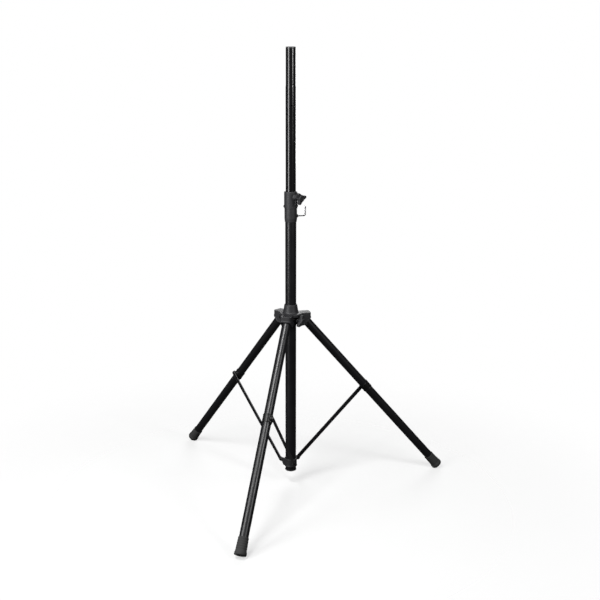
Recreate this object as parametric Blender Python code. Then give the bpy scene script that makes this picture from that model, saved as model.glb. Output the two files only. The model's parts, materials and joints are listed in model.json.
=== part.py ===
"""Telescoping speaker stand on a folding tripod base. Metres, +Z up, standing on z = 0.

Everything is drawn about the pole's axis, and the whole stand is then moved so that the middle of its
footprint is on the origin. Leg a points along -Y, and legs b and c follow at 120 degree steps.
Each leg, its brace and its share of the hub are drawn in a leg frame: x outwards from the pole,
y sideways, z up. Each leg's hub pivot and base pivot lie at one distance from the pole, and the two
halves of the linkage are equally long, so the hub stays true on the pole as the tripod folds.
"""

import math

import bmesh
import bpy
from mathutils import Matrix, Vector

# Legs
LEG_NAMES = ("a", "b", "c")
LEG_AZIMUTHS = (-90.0, 30.0, 150.0)  # degrees, counted from +X
LEG_ANGLE = math.radians(40.7)  # from the vertical, fully open
LEG_LENGTH = 0.8587  # from the hub pivot to the end of the foot, along the leg
LEG_RADIUS = 0.016
LEG_WALL = 0.0012
LEG_OFFSET = 0.010  # leg centre line, outside its pivot
LEG_TUBE_START = 0.0085  # below the pivot, along the leg
LEG_HEAD_DEPTH = 0.040
LEG_HEAD_FLANGE = 0.0052
LEG_HEAD_BOSS = 0.008
LEG_HEAD_HALF_WIDTH = 0.012
LEG_STOP_GAP = 0.00052  # from the leg head's upper edge to the hub's roof, fully open
LEG_NOSE_GAP = 0.00237  # from the leg's upper side to the inside of the hub's nose

# Fold linkage
PIVOT_CLEARANCE = 0.001  # from the hub's core to the boss of a leg's head
LINK_LENGTH = 0.390  # hub pivot to brace pivot, and brace pivot to base pivot
BRACE_PIVOT_OUT = 0.020  # brace pivot, outside the hub pivot, square to the leg
BRACE_STANDOFF = 0.0056  # middle of the brace's thickness, beyond the leg's side
BRACE_THICKNESS = 0.003
BRACE_WIDTH = 0.015
EAR_THICKNESS = 0.0034
EAR_RADIUS = 0.0085
RIVET_RADIUS = 0.0026
RIVET_HEAD_RADIUS = 0.005
RIVET_HEAD_HEIGHT = 0.0022
RIVET_TAIL_RADIUS = 0.0036
RIVET_TAIL_HEIGHT = 0.001

# Leg bracket
BRACKET_LENGTH = 0.030
BRACKET_WALL = 0.002

# Feet
FOOT_LENGTH = 0.057
FOOT_FLARE = 0.005  # the foot's end, beyond the leg's side
FOOT_TOP_WALL = 0.0018
FOOT_SOLE_DEPTH = 0.0235  # rubber beyond the end of the leg tube
FOOT_BEVEL = 0.004
SOLE_TRIM = 0.003  # depth worn flat where the rim meets the floor

# Pole
POLE_RADIUS = 0.020
POLE_WALL = 0.0012
POLE_BELOW_PIVOT = 0.0337  # the pole's lower end, below the base pivots
POLE_TOP = 1.0835
MAST_CLEARANCE = 0.0006  # between the mast and the pole's bore
MAST_WALL = 0.0012
MAST_LENGTH = 0.905
MAST_TOP = 1.620
SPIGOT_INSET = 0.0007  # the spigot's side, inside the mast's side
SPIGOT_LENGTH = 0.128
SPIGOT_STEP = 0.004
PIN_HOLE_RADIUS = 0.0032
PIN_HOLE_DROPS = (0.1945, 0.6745, 0.7945)  # below the mast's top
PIN_HOLE_AZIMUTH = math.radians(-60.0)
TOP_CAP_THICKNESS = 0.0025
TOP_CAP_PLUG = 0.015
GUIDE_LENGTH = 0.024
GUIDE_PLUG = 0.030
GUIDE_CLEARANCE = 0.0003
GUIDE_WALL = 0.0057

# Base collar and cap
BASE_COLLAR_WALL = 0.0037
BASE_COLLAR_BELOW = 0.0215  # below the base pivot
BASE_COLLAR_ABOVE = 0.010
BASE_CAP_LIP = 0.0015  # beyond the pole's side
BASE_CAP_THICKNESS = 0.0055
BASE_CAP_PLUG = 0.024

# Clamp collar
COLLAR_ON_POLE = 0.069  # the collar's length below the pole's top
COLLAR_HEIGHT = 0.1095
COLLAR_TAPER = 0.0125
COLLAR_SEAM = 0.048  # above the collar's bottom
COLLAR_LOW_WALL = 0.0023
COLLAR_HIGH_WALL = 0.0023  # round the bush
COLLAR_LIP = 0.003
COLLAR_BUSH_WALL = 0.0027
SCREW_ABOVE_BOTTOM = 0.0572
SCREW_HEAD_RADIUS = 0.0042
SCREW_SHAFT_RADIUS = 0.0022
SCREW_AZIMUTHS = (30.0, 210.0)  # degrees

# Hand screws: the clamp on the collar and the lock on the hub are alike
SCREW_SIDE = math.radians(-30.0)
CLAMP_BELOW_TOP = 0.020  # clamp screw's axis, below the collar's top
LOCK_BELOW_PIVOT = 0.0053  # lock screw's axis, below the hub pivot
STUD_RADIUS = 0.004
INSERT_RADIUS = 0.0062
INSERT_LENGTH = 0.006
INSERT_WEB = 0.002  # plastic between the insert and the pad's bore
BOSS_RADIUS = 0.0095
CLAMP_BOSS_LENGTH = 0.0102  # beyond the collar's side
LOCK_BOSS_LENGTH = 0.018  # beyond the hub's core
PAD_RADIUS = 0.006
PAD_THICKNESS = 0.0035
KNOB_STANDOFF = 0.002
KNOB_NECK_LENGTH = 0.008
KNOB_NECK_RADIUS = 0.0095
KNOB_THICKNESS = 0.016
CLAMP_LOBE_REACH = 0.024
LOCK_LOBE_REACH = 0.026
CLAMP_KNOB_TURN = 70.0  # degrees that its first lobe is turned
LOCK_KNOB_TURN = 30.0
KNOB_LOBE_RADIUS = 0.0062
KNOB_CORE_RADIUS = 0.0125
KNOB_BEVEL = 0.002

# Locking pin
PIN_RADIUS = 0.0025
PIN_AZIMUTH = math.radians(30.0)
PIN_ABOVE_BOTTOM = 0.0209
PIN_LENGTH = 0.0249  # beyond the collar's side, to the bend
PIN_HANDLE = 0.036
PIN_BEND = 0.006
PIN_BOSS_RADIUS = 0.0058
PIN_BOSS_LENGTH = 0.0044  # beyond the collar's side

# Hub
HUB_BELOW_PIVOT = 0.0228
HUB_ROOF = 0.0045
HUB_CHEEK = 0.0032
HUB_LOBE_KNEE = 0.017  # beyond the pivot, where the lobe's underside starts to rise
HUB_NOSE_HEIGHT = 0.020
HUB_NOSE_WALL = 0.003
HUB_CORNER = 0.008
HUB_CORE_WALL = 0.0019
HUB_DISC_REACH = 0.019  # beyond the hub's core
HUB_DISC_THICKNESS = 0.011
HUB_NECK_HEIGHT = 0.032
HUB_NECK_TOP_WALL = 0.0016
HUB_NECK_FLARE = 0.005  # the neck's foot, beyond the hub's core
HUB_NECK_FOOT_HEIGHT = 0.007
HUB_NECK_LIP = 0.003
HUB_BUSH_WALL = 0.0015
BOLT_RADIUS = 0.004
BOLT_HEAD_RADIUS = 0.0058
BOLT_HEAD_HEIGHT = 0.0042
NUT_RADIUS = 0.0064

# Fits
GAP = 0.0003
SLIDE_GAP = 0.0005
ROUND = 32  # sides of a large round piece
SMALL_ROUND = 20  # sides of a pin, a hole or a boss
HEX = 6

# Worked out from the above: across
POLE_BORE = POLE_RADIUS - POLE_WALL
MAST_RADIUS = POLE_BORE - MAST_CLEARANCE
SPIGOT_RADIUS = MAST_RADIUS - SPIGOT_INSET
BASE_COLLAR_RADIUS = POLE_RADIUS + GAP + BASE_COLLAR_WALL
BASE_CAP_RADIUS = POLE_RADIUS + BASE_CAP_LIP
COLLAR_BUSH_RADIUS = MAST_RADIUS + GAP + COLLAR_BUSH_WALL
COLLAR_LOW_RADIUS = POLE_RADIUS + GAP + COLLAR_LOW_WALL
COLLAR_HIGH_RADIUS = COLLAR_BUSH_RADIUS + GAP + COLLAR_HIGH_WALL
CLAMP_BOSS_REACH = COLLAR_HIGH_RADIUS + CLAMP_BOSS_LENGTH
PIN_REACH = COLLAR_LOW_RADIUS + PIN_LENGTH
PIN_BOSS_REACH = COLLAR_LOW_RADIUS + PIN_BOSS_LENGTH
HUB_BORE = POLE_RADIUS + GAP + HUB_BUSH_WALL + GAP
HUB_CORE_RADIUS = HUB_BORE + HUB_CORE_WALL
HUB_DISC_RADIUS = HUB_CORE_RADIUS + HUB_DISC_REACH
HUB_NECK_TOP_RADIUS = POLE_RADIUS + 2 * GAP + HUB_NECK_TOP_WALL
HUB_NECK_FOOT_RADIUS = HUB_CORE_RADIUS + HUB_NECK_FLARE
LOCK_BOSS_REACH = HUB_CORE_RADIUS + LOCK_BOSS_LENGTH
PIVOT_DISTANCE = HUB_CORE_RADIUS + PIVOT_CLEARANCE + LEG_HEAD_BOSS  # from the pole's axis
CHANNEL_HALF_WIDTH = LEG_RADIUS + SLIDE_GAP
BRACE_SIDE = LEG_RADIUS + BRACE_STANDOFF
EAR_TOP = BRACE_SIDE - BRACE_THICKNESS / 2 - GAP
EAR_BOTTOM = EAR_TOP - EAR_THICKNESS
FOOT_END_RADIUS = LEG_RADIUS + FOOT_FLARE

# Worked out from the above: the linkage, and heights
BRACE_PIVOT_DOWN = math.sqrt(LINK_LENGTH**2 - BRACE_PIVOT_OUT**2)
LINK_ANGLE = LEG_ANGLE + math.atan2(BRACE_PIVOT_OUT, BRACE_PIVOT_DOWN)  # both links, fully open
HUB_PIVOT_HEIGHT = (
    LEG_LENGTH * math.cos(LEG_ANGLE)
    + (FOOT_END_RADIUS - LEG_OFFSET) * math.sin(LEG_ANGLE)
)
BASE_PIVOT_HEIGHT = HUB_PIVOT_HEIGHT - 2 * LINK_LENGTH * math.cos(LINK_ANGLE)
POLE_BOTTOM = BASE_PIVOT_HEIGHT - POLE_BELOW_PIVOT
MAST_BOTTOM = MAST_TOP - MAST_LENGTH
COLLAR_BOTTOM = POLE_TOP - COLLAR_ON_POLE
COLLAR_TOP = COLLAR_BOTTOM + COLLAR_HEIGHT
LEG_UPPER_SIDE = LEG_OFFSET + LEG_RADIUS
LEG_HEAD_TOP = LEG_TUBE_START - GAP - LEG_HEAD_FLANGE  # the flange's top, below the pivot along the leg
HUB_ABOVE_PIVOT = (
    LEG_UPPER_SIDE * math.sin(LEG_ANGLE) - LEG_HEAD_TOP * math.cos(LEG_ANGLE) + LEG_STOP_GAP + HUB_ROOF
)
HUB_BOTTOM = HUB_PIVOT_HEIGHT - HUB_BELOW_PIVOT
HUB_TOP = HUB_PIVOT_HEIGHT + HUB_ABOVE_PIVOT
HUB_LOBE_TOP = HUB_TOP - 0.0001  # just under the disc, so that no two faces lie in one plane
HUB_NECK_TOP = HUB_TOP + HUB_NECK_HEIGHT
HUB_NOSE_BOTTOM = HUB_LOBE_TOP - HUB_NOSE_HEIGHT
HUB_LOBE_REACH = (
    PIVOT_DISTANCE + LEG_UPPER_SIDE / math.cos(LEG_ANGLE)
    + (HUB_PIVOT_HEIGHT - HUB_NOSE_BOTTOM) * math.tan(LEG_ANGLE) + LEG_NOSE_GAP + HUB_NOSE_WALL
)
AXIS_Y = Vector((0, 1, 0))
STAND = "stand_axis"


def clear_scene():
    for old in list(bpy.data.objects):
        bpy.data.objects.remove(old, do_unlink=True)


def make_material(name, colour, metallic, roughness):
    material = bpy.data.materials.new(name)
    material.use_nodes = True
    shader = material.node_tree.nodes["Principled BSDF"]
    shader.inputs["Base Color"].default_value = (*colour, 1.0)
    shader.inputs["Metallic"].default_value = metallic
    shader.inputs["Roughness"].default_value = roughness
    return material


# Meshes ----------------------------------------------------------------------------------


def turned_mesh(profile, sides, closed):
    """A profile of (radius, height) points turned about Z. An open one starts and ends on the axis."""
    bm = bmesh.new()
    corners = [bm.verts.new((radius, 0, height)) for radius, height in profile]
    ends = corners[1:] + ([corners[0]] if closed else [])
    edges = [bm.edges.new(pair) for pair in zip(corners, ends)]
    bmesh.ops.spin(
        bm, geom=corners + edges, cent=(0, 0, 0), axis=(0, 0, 1), dvec=(0, 0, 0),
        angle=math.tau, steps=sides, use_merge=True, use_duplicate=False,
    )
    bmesh.ops.remove_doubles(bm, verts=bm.verts, dist=1e-6)
    bmesh.ops.dissolve_degenerate(bm, edges=bm.edges, dist=1e-6)
    bmesh.ops.recalc_face_normals(bm, faces=bm.faces)
    return bm


def ring_mesh(inner, outer, bottom, top, sides=ROUND):
    return turned_mesh([(inner, bottom), (outer, bottom), (outer, top), (inner, top)], sides, True)


def rod_mesh(radius, bottom, top, sides=SMALL_ROUND):
    return turned_mesh([(0, bottom), (radius, bottom), (radius, top), (0, top)], sides, False)


def prism_mesh(outline, low, high):
    """An outline of (x, z) points pushed from y = low to y = high."""
    bm = bmesh.new()
    face = bm.faces.new([bm.verts.new((x, low, z)) for x, z in outline])
    pushed = bmesh.ops.extrude_face_region(bm, geom=[face])
    moved = [item for item in pushed["geom"] if isinstance(item, bmesh.types.BMVert)]
    bmesh.ops.translate(bm, verts=moved, vec=(0, high - low, 0))
    bmesh.ops.recalc_face_normals(bm, faces=bm.faces)
    return bm


def turn_to(direction):
    """The turn that takes Z to this direction."""
    return Vector((0, 0, 1)).rotation_difference(direction).to_matrix().to_4x4()


def along(bm, direction, start=Vector((0, 0, 0))):
    """Points a mesh made about Z along another direction, from a start point."""
    bm.transform(Matrix.Translation(start) @ turn_to(direction))
    return bm


# Objects ---------------------------------------------------------------------------------


def empty_at(name, matrix):
    """An empty on a joint's axis, carried by the stand's own."""
    stand = bpy.data.objects.get(STAND)
    empty = bpy.data.objects.new(name, None)
    bpy.context.scene.collection.objects.link(empty)
    empty.parent = stand
    empty.matrix_basis = matrix
    return empty


def finish(name, bm, material, parent=None):
    """Makes an object of a mesh, carried by an empty on its axis or by the stand's own."""
    mesh = bpy.data.meshes.new(name)
    bm.to_mesh(mesh)
    bm.free()
    mesh.materials.append(material)
    mesh.shade_smooth()
    mesh.set_sharp_from_angle(angle=math.radians(35))
    piece = bpy.data.objects.new(name, mesh)
    bpy.context.scene.collection.objects.link(piece)
    piece.parent = parent or bpy.data.objects[STAND]
    return piece


def combine(piece, tool_bm, operation, label):
    """Adds or cuts a hidden helper shape, drawn in the piece's own frame."""
    helper = finish(f"{piece.name}_{label}", tool_bm, piece.data.materials[0], piece.parent)
    helper.hide_render = True
    helper.display_type = "WIRE"
    step = piece.modifiers.new(label, "BOOLEAN")
    step.operation = operation
    step.object = helper
    return piece


def cut(piece, tool_bm, label):
    return combine(piece, tool_bm, "DIFFERENCE", label)


def join(piece, tool_bm, label):
    return combine(piece, tool_bm, "UNION", label)


def radial(angle):
    return Vector((math.cos(angle), math.sin(angle), 0))


# Pole ------------------------------------------------------------------------------------


def make_lower_tube(paint):
    tube = finish("lower_tube", ring_mesh(POLE_BORE, POLE_RADIUS, POLE_BOTTOM, POLE_TOP), paint)
    pin_height = Vector((0, 0, COLLAR_BOTTOM + PIN_ABOVE_BOTTOM))
    hole = rod_mesh(PIN_RADIUS + GAP, -2 * POLE_RADIUS, 2 * POLE_RADIUS)
    cut(tube, along(hole, radial(PIN_AZIMUTH), pin_height), "pin_hole")
    screw_height = Vector((0, 0, COLLAR_BOTTOM + SCREW_ABOVE_BOTTOM))
    hole = rod_mesh(SCREW_SHAFT_RADIUS + GAP, -2 * POLE_RADIUS, 2 * POLE_RADIUS)
    cut(tube, along(hole, radial(math.radians(SCREW_AZIMUTHS[0])), screw_height), "screw_hole")
    return tube


def make_base_cap(plastic):
    top = POLE_BOTTOM - GAP
    bottom = top - BASE_CAP_THICKNESS
    plug = POLE_BORE - GAP
    profile = [
        (0, bottom), (BASE_CAP_RADIUS - 0.004, bottom), (BASE_CAP_RADIUS - 0.0012, bottom + 0.0012),
        (BASE_CAP_RADIUS, bottom + 0.003), (BASE_CAP_RADIUS, top), (plug, top),
        (plug, top + BASE_CAP_PLUG), (0, top + BASE_CAP_PLUG),
    ]
    return finish("base_end_cap", turned_mesh(profile, ROUND, False), plastic)


def make_base_collar(plastic):
    bottom = BASE_PIVOT_HEIGHT - BASE_COLLAR_BELOW
    top = BASE_PIVOT_HEIGHT + BASE_COLLAR_ABOVE
    bore = POLE_RADIUS + GAP
    body = rod_mesh(BASE_COLLAR_RADIUS, bottom, top, ROUND)
    collar = finish("base_collar", body, plastic)
    for name, azimuth in zip(LEG_NAMES, LEG_AZIMUTHS):
        turn = Matrix.Rotation(math.radians(azimuth), 4, "Z")
        reach = [
            (POLE_RADIUS / 2, BASE_PIVOT_HEIGHT - EAR_RADIUS),
            *arc_points(PIVOT_DISTANCE, BASE_PIVOT_HEIGHT, EAR_RADIUS, -90, 90),
            (POLE_RADIUS / 2, BASE_PIVOT_HEIGHT + EAR_RADIUS),
        ]
        ear = prism_mesh(reach, EAR_BOTTOM, EAR_TOP)
        ear.transform(turn)
        join(collar, ear, f"ear_{name}")
        pivot = Vector((PIVOT_DISTANCE, 0, BASE_PIVOT_HEIGHT))
        hole = along(rod_mesh(RIVET_RADIUS + GAP, EAR_BOTTOM - 0.002, EAR_TOP + 0.002), AXIS_Y, pivot)
        hole.transform(turn)
        cut(collar, hole, f"hole_{name}")
    cut(collar, rod_mesh(bore, bottom - 0.01, top + 0.01, ROUND), "bore")
    return collar


def arc_points(x, z, radius, start, stop, steps=8):
    """Points on an arc in the x-z plane, from one angle to another in degrees."""
    angles = [math.radians(start + (stop - start) * i / steps) for i in range(steps + 1)]
    return [(x + radius * math.cos(angle), z + radius * math.sin(angle)) for angle in angles]


def rivet_mesh(tail_side):
    """A rivet along +Y: tail_side is where its peened end starts."""
    head_side = BRACE_SIDE + BRACE_THICKNESS / 2 + GAP
    profile = [(0, tail_side)]
    if tail_side < EAR_BOTTOM - GAP:
        tail_top = tail_side + RIVET_TAIL_HEIGHT
        profile += [(RIVET_TAIL_RADIUS, tail_side), (RIVET_TAIL_RADIUS, tail_top), (RIVET_RADIUS, tail_top)]
    else:
        profile.append((RIVET_RADIUS, tail_side))
    profile += [
        (RIVET_RADIUS, head_side), (RIVET_HEAD_RADIUS, head_side),
        (RIVET_HEAD_RADIUS, head_side + RIVET_HEAD_HEIGHT / 3),
        (RIVET_HEAD_RADIUS * 0.6, head_side + RIVET_HEAD_HEIGHT * 0.85),
        (0, head_side + RIVET_HEAD_HEIGHT),
    ]
    return along(turned_mesh(profile, SMALL_ROUND, False), AXIS_Y)


def make_base_rivets(steel):
    for name, azimuth in zip(LEG_NAMES, LEG_AZIMUTHS):
        turn = Matrix.Rotation(math.radians(azimuth), 4, "Z")
        place = turn @ Matrix.Translation((PIVOT_DISTANCE, 0, BASE_PIVOT_HEIGHT))
        rivet = rivet_mesh(EAR_BOTTOM - GAP - RIVET_TAIL_HEIGHT)
        finish(f"base_rivet_{name}", rivet, steel, empty_at(f"base_pivot_{name}", place))


# Clamp collar ----------------------------------------------------------------------------


def make_clamp_collar(plastic):
    bore = POLE_RADIUS + GAP
    seat = COLLAR_BUSH_RADIUS + GAP
    lip = MAST_RADIUS + 2 * GAP
    seam = COLLAR_BOTTOM + COLLAR_SEAM
    shoulder = POLE_TOP + GAP
    chamfer = 0.002
    groove = 0.0008
    profile = [
        (bore, COLLAR_BOTTOM), (bore + 0.0008, COLLAR_BOTTOM),
        (COLLAR_LOW_RADIUS, COLLAR_BOTTOM + COLLAR_TAPER), (COLLAR_LOW_RADIUS, seam - groove),
        (COLLAR_LOW_RADIUS - groove, seam - groove), (COLLAR_LOW_RADIUS - groove, seam),
        (COLLAR_HIGH_RADIUS, seam), (COLLAR_HIGH_RADIUS, COLLAR_TOP - chamfer),
        (COLLAR_HIGH_RADIUS - chamfer, COLLAR_TOP), (lip, COLLAR_TOP), (lip, COLLAR_TOP - COLLAR_LIP),
        (seat, COLLAR_TOP - COLLAR_LIP), (seat, shoulder), (bore, shoulder),
    ]
    collar = finish("clamp_collar", turned_mesh(profile, ROUND, True), plastic)
    screw_axis = Vector((0, 0, COLLAR_TOP - CLAMP_BELOW_TOP))
    join(collar, along(hand_screw_boss(seat, CLAMP_BOSS_REACH), radial(SCREW_SIDE), screw_axis), "boss")
    bore_tool = hand_screw_bore(MAST_RADIUS - 0.004, CLAMP_BOSS_REACH)
    cut(collar, along(bore_tool, radial(SCREW_SIDE), screw_axis), "screw_bore")
    pin_axis = Vector((0, 0, COLLAR_BOTTOM + PIN_ABOVE_BOTTOM))
    boss = rod_mesh(PIN_BOSS_RADIUS, POLE_RADIUS + 0.001, PIN_BOSS_REACH)
    join(collar, along(boss, radial(PIN_AZIMUTH), pin_axis), "pin_boss")
    hole = rod_mesh(PIN_RADIUS + GAP, -2 * POLE_RADIUS, 2 * POLE_RADIUS)
    cut(collar, along(hole, radial(PIN_AZIMUTH), pin_axis), "pin_hole")
    screw_height = Vector((0, 0, COLLAR_BOTTOM + SCREW_ABOVE_BOTTOM))
    hole = rod_mesh(SCREW_SHAFT_RADIUS + GAP, -2 * POLE_RADIUS, 2 * POLE_RADIUS)
    cut(collar, along(hole, radial(math.radians(SCREW_AZIMUTHS[0])), screw_height), "screw_hole")
    return collar


def hand_screw_boss(start, reach):
    return rod_mesh(BOSS_RADIUS, start, reach)


def hand_screw_bore(start, reach):
    """Room for the pad, the stud and the threaded insert, stepped along one axis."""
    pad = PAD_RADIUS + SLIDE_GAP
    stud = STUD_RADIUS + GAP
    insert = INSERT_RADIUS + GAP
    pad_end = insert_start(reach) - INSERT_WEB
    insert_seat = insert_start(reach) - GAP
    profile = [
        (0, start), (pad, start), (pad, pad_end), (stud, pad_end),
        (stud, insert_seat), (insert, insert_seat), (insert, reach + 0.01), (0, reach + 0.01),
    ]
    return turned_mesh(profile, SMALL_ROUND, False)


def insert_start(reach):
    return reach - INSERT_LENGTH


def make_collar_bush(nylon):
    bottom = POLE_TOP + 2 * GAP
    top = COLLAR_TOP - COLLAR_LIP - GAP
    bush = finish("collar_bush", ring_mesh(MAST_RADIUS + GAP, COLLAR_BUSH_RADIUS, bottom, top), nylon)
    hole = rod_mesh(PAD_RADIUS + SLIDE_GAP, MAST_RADIUS / 2, 2 * MAST_RADIUS)
    cut(bush, along(hole, radial(SCREW_SIDE), Vector((0, 0, COLLAR_TOP - CLAMP_BELOW_TOP))), "pad_hole")
    return bush


def make_collar_screws(steel):
    height = COLLAR_BOTTOM + SCREW_ABOVE_BOTTOM
    head_start = COLLAR_HIGH_RADIUS + GAP
    tip = POLE_BORE + GAP
    profile = [
        (0, tip), (SCREW_SHAFT_RADIUS, tip), (SCREW_SHAFT_RADIUS, head_start),
        (SCREW_HEAD_RADIUS, head_start), (SCREW_HEAD_RADIUS, head_start + 0.0012),
        (SCREW_HEAD_RADIUS * 0.6, head_start + 0.0024), (0, head_start + 0.0027),
    ]
    for number, azimuth in enumerate(SCREW_AZIMUTHS, 1):
        screw = turned_mesh(profile, SMALL_ROUND, False)
        along(screw, radial(math.radians(azimuth)), Vector((0, 0, height)))
        finish(f"collar_screw_{number}", screw, steel)


def make_hand_screw(prefix, tube_radius, height, reach, lobes, insert_name, materials):
    """Insert, pad, stud and three-lobed knob of one hand screw, on an empty on its axis."""
    brass, steel, plastic = materials
    direction = radial(SCREW_SIDE)
    axis = Matrix.Translation((0, 0, height)) @ turn_to(direction)
    holder = empty_at(f"{prefix}_axis", axis)
    start = insert_start(reach)
    insert = ring_mesh(STUD_RADIUS + GAP, INSERT_RADIUS, start, reach - GAP, SMALL_ROUND)
    finish(insert_name, insert, brass, holder)
    face = tube_radius + SLIDE_GAP
    finish(f"{prefix}_pad", rod_mesh(PAD_RADIUS, face, face + PAD_THICKNESS), brass, holder)
    neck = reach + KNOB_STANDOFF
    body = neck + KNOB_NECK_LENGTH
    stud_end = body + KNOB_THICKNESS / 2
    stud = rod_mesh(STUD_RADIUS, face + PAD_THICKNESS + GAP, stud_end)
    finish(f"{prefix}_stud", stud, steel, holder)
    knob = make_knob(f"{prefix}_knob", neck, body, lobes, plastic, holder)
    cut(knob, rod_mesh(STUD_RADIUS + GAP, neck - 0.01, stud_end + GAP), "stud_hole")
    return holder


def make_knob(name, neck, body, lobes, plastic, holder):
    """A short neck, a round core and three lobes of a given reach and turn, with its axis along Z."""
    lobe_reach, turn = lobes
    knob = finish(name, rod_mesh(KNOB_NECK_RADIUS, neck, body + 0.002), plastic, holder)
    core = rod_mesh(KNOB_CORE_RADIUS, body, body + KNOB_THICKNESS)
    soften(core, KNOB_BEVEL)
    join(knob, core, "core")
    for number in range(3):
        arm = lobe_mesh(lobe_reach, body, body + KNOB_THICKNESS * 0.85)
        arm.transform(Matrix.Rotation(math.radians(120 * number + turn), 4, "Z"))
        join(knob, arm, f"lobe_{number}")
    return knob


def lobe_mesh(reach, low, high):
    """One round-ended wing of a knob, out along +X."""
    tip = reach - KNOB_LOBE_RADIUS
    root = KNOB_CORE_RADIUS * 0.8
    outline = [(0, -root), *arc_points(tip, 0, KNOB_LOBE_RADIUS, -80, 80), (0, root)]
    bm = prism_mesh(outline, low, high)
    bm.transform(Matrix.Rotation(math.radians(90), 4, "X"))
    soften(bm, KNOB_BEVEL * 0.8)
    return bm


def soften(bm, width):
    """Rounds the sharp edges of a mesh."""
    bm.normal_update()
    sharp = [edge for edge in bm.edges if edge.calc_face_angle(0) > math.radians(50)]
    bmesh.ops.bevel(bm, geom=sharp, offset=width, affect="EDGES", segments=2, profile=0.5, material=-1)


def make_locking_pin(steel):
    """A bent wire pin on its slide axis: a shaft into the collar, and a handle that stands up."""
    holder = empty_at(
        "locking_pin_axis",
        Matrix.Translation((0, 0, COLLAR_BOTTOM + PIN_ABOVE_BOTTOM)) @ Matrix.Rotation(PIN_AZIMUTH, 4, "Z"),
    )
    tip = POLE_BORE + GAP
    bend = [
        (PIN_REACH + PIN_BEND * math.sin(turn), PIN_BEND * (1 - math.cos(turn)))
        for turn in (math.radians(90 * step / 6) for step in range(7))
    ]
    route = [(tip, 0), *bend, (PIN_REACH + PIN_BEND, PIN_HANDLE)]
    path = bpy.data.curves.new("locking_pin", "CURVE")
    path.dimensions = "3D"
    path.bevel_depth = PIN_RADIUS
    path.bevel_resolution = 3
    path.use_fill_caps = True
    spline = path.splines.new("POLY")
    spline.points.add(len(route) - 1)
    for point, (out, up) in zip(spline.points, route):
        point.co = (out, 0, up, 1)
    path.materials.append(steel)
    pin = bpy.data.objects.new("locking_pin", path)
    bpy.context.scene.collection.objects.link(pin)
    pin.parent = holder
    return pin


# Mast ------------------------------------------------------------------------------------


def make_mast_tube(paint):
    shoulder = MAST_TOP - SPIGOT_LENGTH
    profile = [
        (MAST_RADIUS - MAST_WALL, MAST_BOTTOM), (MAST_RADIUS, MAST_BOTTOM),
        (MAST_RADIUS, shoulder - SPIGOT_STEP), (SPIGOT_RADIUS, shoulder),
        (SPIGOT_RADIUS, MAST_TOP), (SPIGOT_RADIUS - MAST_WALL, MAST_TOP),
        (SPIGOT_RADIUS - MAST_WALL, shoulder), (MAST_RADIUS - MAST_WALL, shoulder - SPIGOT_STEP),
    ]
    mast = finish("mast_tube", turned_mesh(profile, ROUND, True), paint)
    for number, drop in enumerate(PIN_HOLE_DROPS, 1):
        hole = rod_mesh(PIN_HOLE_RADIUS, -2 * MAST_RADIUS, 2 * MAST_RADIUS, 12)
        along(hole, radial(PIN_HOLE_AZIMUTH), Vector((0, 0, MAST_TOP - drop)))
        cut(mast, hole, f"pin_hole_{number}")
    return mast


def make_mast_top_cap(plastic):
    bottom = MAST_TOP + GAP
    top = bottom + TOP_CAP_THICKNESS
    plug = SPIGOT_RADIUS - MAST_WALL - GAP
    edge = TOP_CAP_THICKNESS * 0.6
    profile = [
        (0, bottom - TOP_CAP_PLUG), (plug, bottom - TOP_CAP_PLUG), (plug, bottom), (SPIGOT_RADIUS, bottom),
        (SPIGOT_RADIUS, top - edge), (SPIGOT_RADIUS - edge, top), (0, top),
    ]
    return finish("mast_top_cap", turned_mesh(profile, ROUND, False), plastic)


def make_mast_guide(nylon):
    top = MAST_BOTTOM - GAP
    bottom = top - GUIDE_LENGTH
    plug = MAST_RADIUS - MAST_WALL - GAP
    bore = plug - GUIDE_WALL
    outer = POLE_BORE - GUIDE_CLEARANCE
    profile = [
        (bore, bottom), (outer - 0.001, bottom), (outer, bottom + 0.002), (outer, top), (plug, top),
        (plug, top + GUIDE_PLUG), (bore, top + GUIDE_PLUG),
    ]
    return finish("mast_guide_bush", turned_mesh(profile, ROUND, True), nylon)


# Hub -------------------------------------------------------------------------------------


def hub_lobe(half_width):
    """A lobe whose underside rises towards its nose."""
    outline = [
        (0, HUB_BOTTOM), (PIVOT_DISTANCE + HUB_LOBE_KNEE, HUB_BOTTOM),
        (HUB_LOBE_REACH, HUB_NOSE_BOTTOM), (HUB_LOBE_REACH, HUB_LOBE_TOP), (0, HUB_LOBE_TOP),
    ]
    return prism_mesh(outline, -half_width, half_width)


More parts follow.
